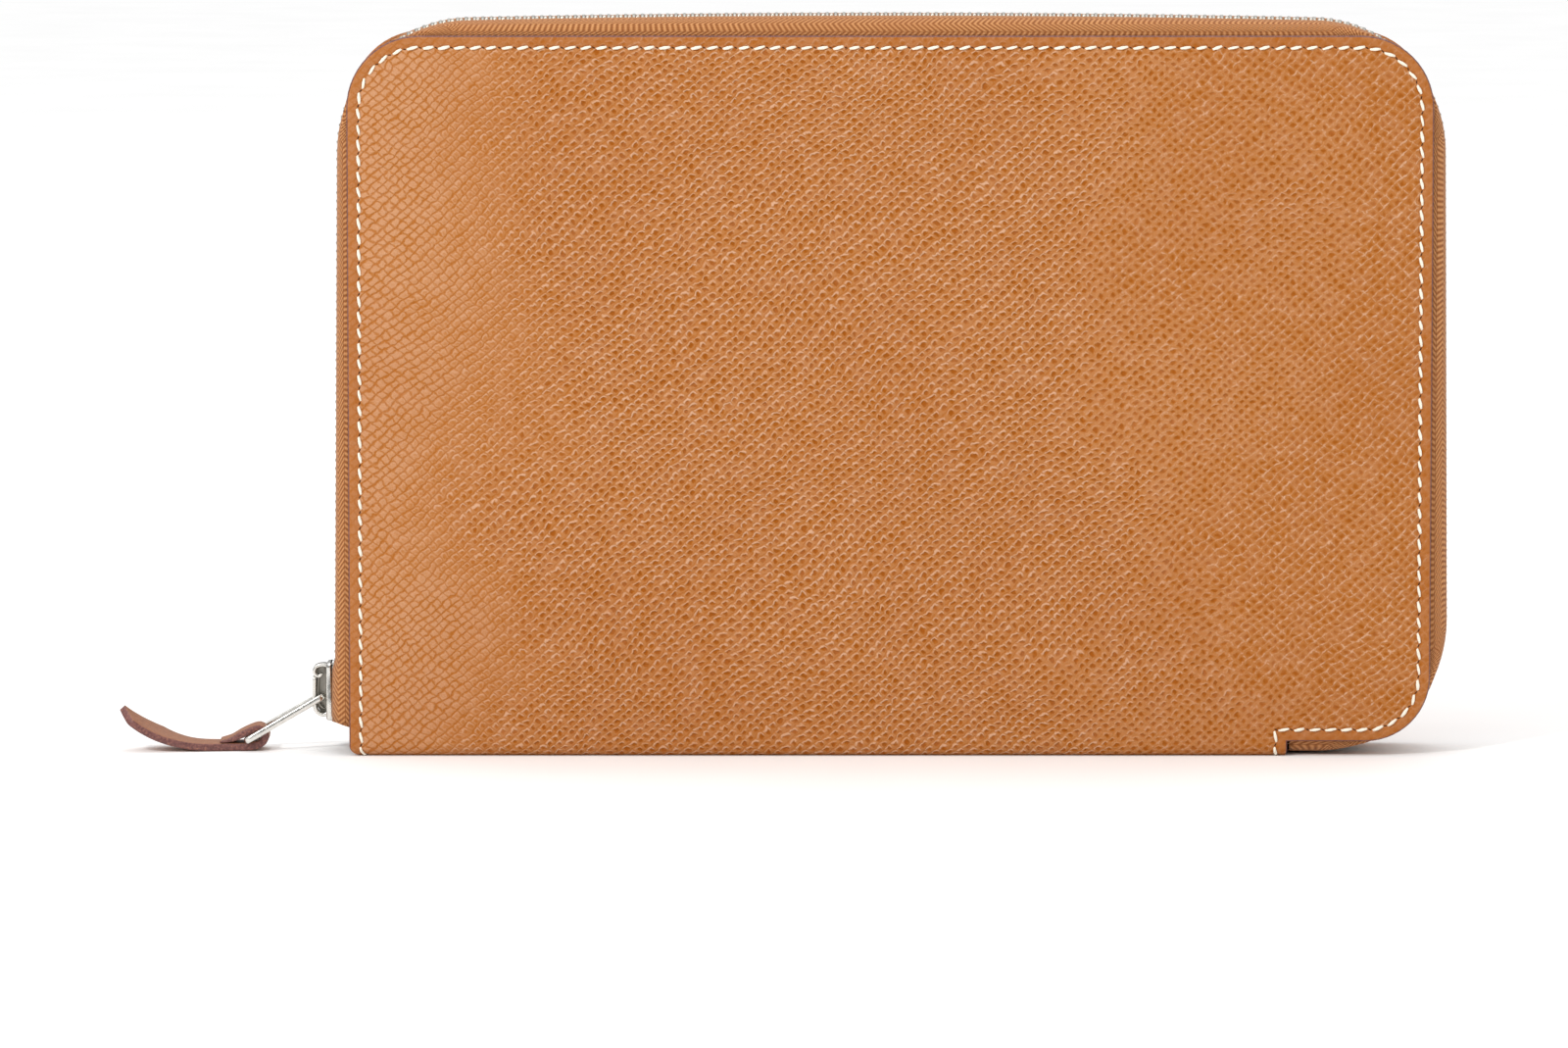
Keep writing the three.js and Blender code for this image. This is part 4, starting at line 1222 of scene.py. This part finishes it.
def card_side():
    """The front cover's slip pocket and its four stepped card panels, sewn down the middle and sides."""
    seams = Pile()
    low, high, inner = panel("slip_pocket_sheet", "front_cover", "front_slip_pocket")
    level_seam(seams, low, high, 2, high[2] - 2, inner)
    for row in range(1, 5):
        low, high, inner = panel(f"card_pocket_sheet_{row}", "front_cover", f"card_pocket_{row}")
        level_seam(seams, low, high, 2, high[2] - 1.6, inner)
        base = corners(f"card_pocket_{row + 1}")[1][2] + 0.6 if row < 4 else low[2] + 1.5
        for x in (-0.9, 0.9, low[0] + 1.6, high[0] - 1.6):
            corner = 8 if row == 4 and abs(x) > 50 else 0
            seam(seams, [(x, base + corner), (x, high[2] - 2.6)], inner)
    level_seam(seams, low, high, 9, low[2] + 1.6, inner)
    fitted("card_side_seams", seams, [THREAD_WHITE], "front_cover", "inner_leather")


COIN_ZIP_Z = (corners("coin_teeth_lower")[0][2] + corners("coin_teeth_upper")[1][2]) / 2


def coin_side():
    """The back cover's cloth coin bag, its leather face with a window for the zip, and the bill pocket."""
    seams = Pile()
    panel("coin_bag_cloth", "back_cover", "coin_pocket_bag", material=CLOTH, slot="lining_cloth")
    far = corners("coin_tape_lower")[1][0] + 2
    window = ((-far, COIN_ZIP_Z - 4.5), (far, COIN_ZIP_Z + 4.5))
    low, high, inner = panel("coin_pocket_face", "back_cover", "coin_pocket_front", window=window)
    for z in (COIN_ZIP_Z - 6.2, COIN_ZIP_Z + 6.2):
        seam(seams, [(-far - 1.7, z), (far + 1.7, z)], inner)
    for x in (-far - 1.7, far + 1.7):
        seam(seams, [(x, COIN_ZIP_Z - 5.0), (x, COIN_ZIP_Z + 5.0)], inner)
    level_seam(seams, low, high, 2, high[2] - 1.8, inner)
    low, high, inner = panel("bill_pocket_sheet", "back_cover", "bill_pocket")
    level_seam(seams, low, high, 2, high[2] - 1.8, inner)
    level_seam(seams, low, high, 9, low[2] + 1.6, inner)
    for x in (low[0] + 1.6, high[0] - 1.6):
        seam(seams, [(x, low[2] + 9), (x, high[2] - 3)], inner)
    fitted("coin_side_seams", seams, [THREAD_WHITE], "back_cover", "inner_leather")


def coin_tape(name, sign):
    """One of the coin zip's flat tapes, with the cord that holds its teeth."""
    low, high = corners("coin_tape_" + name)
    y, half = (low[1] + high[1]) / 2, (high[1] - low[1]) / 2
    inner, outer = (high[2], low[2]) if sign < 0 else (low[2], high[2])
    profile = [(inner - sign * 0.1, 0.9), (inner + sign * 0.35, 1.15), (inner + sign * 0.9, 0.9),
               (inner + sign * 1.3, 0.7), ((inner + outer) / 2, 0.7), (outer, 0.7)]
    rings, uv = [], []
    for x in np.linspace(low[0], high[0], 60):
        ring = [(x, y - half * k, z) for z, k in profile]
        ring += [(x, y + half * k, z) for z, k in reversed(profile)]
        uv += [(x, abs(v[2] - inner)) for v in ring]
        rings.append(ring)
    pile = lofted(rings, uv)
    fitted(f"coin_tape_{name}_woven", pile, [TAPE], "back_cover", "zip_tape", "coin_tape_" + name)


def coin_teeth(name, sign):
    """One row of the coin zip's teeth, half a pitch apart from the other."""
    pitch, slim, short = 1.9, 0.7, 0.92
    node = "coin_teeth_" + name
    low, high = corners(node)
    y = (low[1] + high[1]) / 2
    along, out, up = np.eye(3)
    place = low[0] + (0.5 if sign > 0 else 0.5 + pitch / 2)
    pile = Pile()
    while place < high[0] - 0.4:
        add_tooth(pile, np.array([place, y, COIN_ZIP_Z]), along, out, up * sign * short, slim)
        place += pitch
    fitted(node + "_cast", pile, [TOOTH_METAL], "back_cover", "nickel", node)


def coin_zip():
    """The coin pocket's zip: tapes, teeth, stops, slider and ring pull."""
    for name, end, sign in (("lower", "left", -1), ("upper", "right", 1)):
        coin_tape(name, sign)
        coin_teeth(name, sign)
        folded_stop("coin_stop_bent_" + end, "coin_stop_" + end, "back_cover")
    low, high = corners("coin_slider_body")
    middle = (low + high) / 2
    y = sum(corner[1] for corner in corners("coin_teeth_lower")) / 2
    size = {
        "length": high[0] - low[0], "tail": 3.2, "nose": 3.6, "outer": 1.55, "inner": 1.45, "depth": 0.9,
        "cap": 2.1, "cap_width": 2.4, "lips": [0.3, 0.3, 0.45, 0.6], "inner_lips": [-0.4] * 4,
    }

    def place(w, l, t):
        return (middle[0] + l, y - t, middle[2] - w)

    build_slider(place, "coin_slider", "coin_slider_body", "coin_slider", size)
    coin_cap(place, size)
    across, _, up = np.eye(3)
    wire_loop("coin_ring_pull", "coin_ring", "coin_pull", joint_point("coin_pull_swing"), across, up,
              9.0, 2.1, 2.1, 1.1, 0.42, 0.36)


def coin_cap(place, size):
    """The small slider's plain bridge."""
    half, foot, crown = size["length"] / 2, size["outer"], size["outer"] + size["cap"]
    bends = [(half - 0.9, foot - 0.2), (half - 0.9, crown - 0.9), (half - 1.6, crown - 0.3),
             (0, crown - 0.25), (-half + 1.7, crown - 0.3), (-half + 1.0, crown - 0.9),
             (-half + 1.0, foot - 0.2)]
    pile = Pile()
    strap(pile, spline(bends, 30), size["cap_width"] / 2, 0.5, place)
    fitted("coin_slider_bridge", pile, [NICKEL], "coin_slider", "nickel", "coin_slider_cap")


# ---------------------------------------------------------------- camera, light and floor
PLANE_WIDTH = 304.0  # what the picture's width covers at the front cover's face
CAMERA_DISTANCE = 1800.0
CAMERA_PITCH = math.radians(6.0)
SENSOR = 36.0
AIM = np.array([-20.5, -HALF, 45.4])


def camera():
    """A long lens in front of the wallet, looking a little down."""
    data = bpy.data.cameras.new("camera")
    data.sensor_width = SENSOR
    data.lens = SENSOR * CAMERA_DISTANCE / PLANE_WIDTH
    data.clip_end = 60
    eye = bpy.data.objects.new("camera", data)
    bpy.context.scene.collection.objects.link(eye)
    back = np.array([0, -math.cos(CAMERA_PITCH), math.sin(CAMERA_PITCH)])
    eye.location = Vector((AIM + back * CAMERA_DISTANCE) * MM)
    eye.rotation_euler = (PI / 2 - CAMERA_PITCH, 0, 0)
    bpy.context.scene.camera = eye


def area_light(name, place, aim, size, power, colour=(1, 1, 1)):
    """A round soft lamp; place and aim are in metres."""
    data = bpy.data.lights.new(name, "AREA")
    data.shape = "DISK"
    data.size = size
    data.energy = power
    data.color = colour
    lamp = bpy.data.objects.new(name, data)
    bpy.context.scene.collection.objects.link(lamp)
    lamp.location = place
    lamp.rotation_euler = (Vector(aim) - Vector(place)).to_track_quat("-Z", "Y").to_euler()


def sky():
    """White light from all round, brighter from above."""
    world = bpy.data.worlds.new("studio")
    bpy.context.scene.world = world
    world.use_nodes = True
    tree = world.node_tree
    background = tree.nodes["Background"]
    direction = tree.nodes.new("ShaderNodeTexCoord").outputs["Generated"]
    split = tree.nodes.new("ShaderNodeSeparateXYZ")
    fade = tree.nodes.new("ShaderNodeValToRGB")
    tree.links.new(direction, split.inputs[0])
    tree.links.new(split.outputs["Z"], fade.inputs[0])
    for point, (where, grey) in zip(fade.color_ramp.elements, ((0.0, 0.12), (0.75, 1.22))):
        point.position = where
        point.color = (grey, grey, grey, 1)
    tree.links.new(fade.outputs["Color"], background.inputs["Color"])
    background.inputs["Strength"].default_value = 1.0


def floor():
    """A pale floor out to the horizon, which is also the background."""
    half = 15000.0
    pile = Pile()
    pile.add([(-half, -half, 0), (half, -half, 0), (half, half, 0), (-half, half, 0)], [(0, 1, 2, 3)])
    g = Graph("pale_floor", Roughness=0.85, IOR=1.2)
    speck = g.ramp(g.noise(g.solid(), 0.02, 2.0), (0.3, 251, 251, 251), (0.7, 254, 254, 254))
    g.put(speck, g.shader.inputs["Base Color"])
    make("floor", pile, [g.material], recalc=False)


def studio():
    """Light, floor, and a view transform that keeps the colours as they are set."""
    sky()
    area_light("key", (-0.75, -1.0, 1.05), (0, 0, 0.07), 0.22, 9.0, (1, 0.99, 0.97))
    area_light("fill", (1.1, -1.2, 0.35), (0, 0, 0.07), 0.7, 1.2)
    area_light("top", (0.1, 0.35, 1.3), (0, 0, 0.1), 0.8, 2)
    bpy.context.scene.view_settings.view_transform = "Standard"
    floor()


# ---------------------------------------------------------------- put together
camera()
for end, side in (("front", FRONT), ("back", BACK)):
    cover = end + "_cover"
    leather_skin(side, end)
    edge_stitching(side, end)
    zip_tape(side, end + "_zip_tape", cover)
    chain_teeth(side, end + "_teeth", cover)
    folded_stop(end + "_bottom_stop_bent", end + "_bottom_stop", cover)
folded_stop("top_stop_bent", "back_top_stop", "back_cover")
build_slider(on_left_side, "zip_slider", "slider_body", "slider", MAIN_SLIDER)
main_cap()
lock_spring()
loop_start, loop_end = joint_point("pull_loop_swing"), joint_point("pull_tab_swing")
wire_loop("pull_wire_loop", "pull_wire", "pull_loop", loop_start, unit(loop_end - loop_start),
          np.array([0, 1.0, 0]), float(np.linalg.norm(loop_end - loop_start)), 2.6, 4.35, 0.9, 0.48, 0.62)
pull_tab()
linings()
card_side()
coin_side()
coin_zip()
for name in ("front_board", "back_board", "spine_board"):
    node = frame["nodes"][name]
    node.data.materials.clear()
    node.data.materials.append(BOARD)
studio()
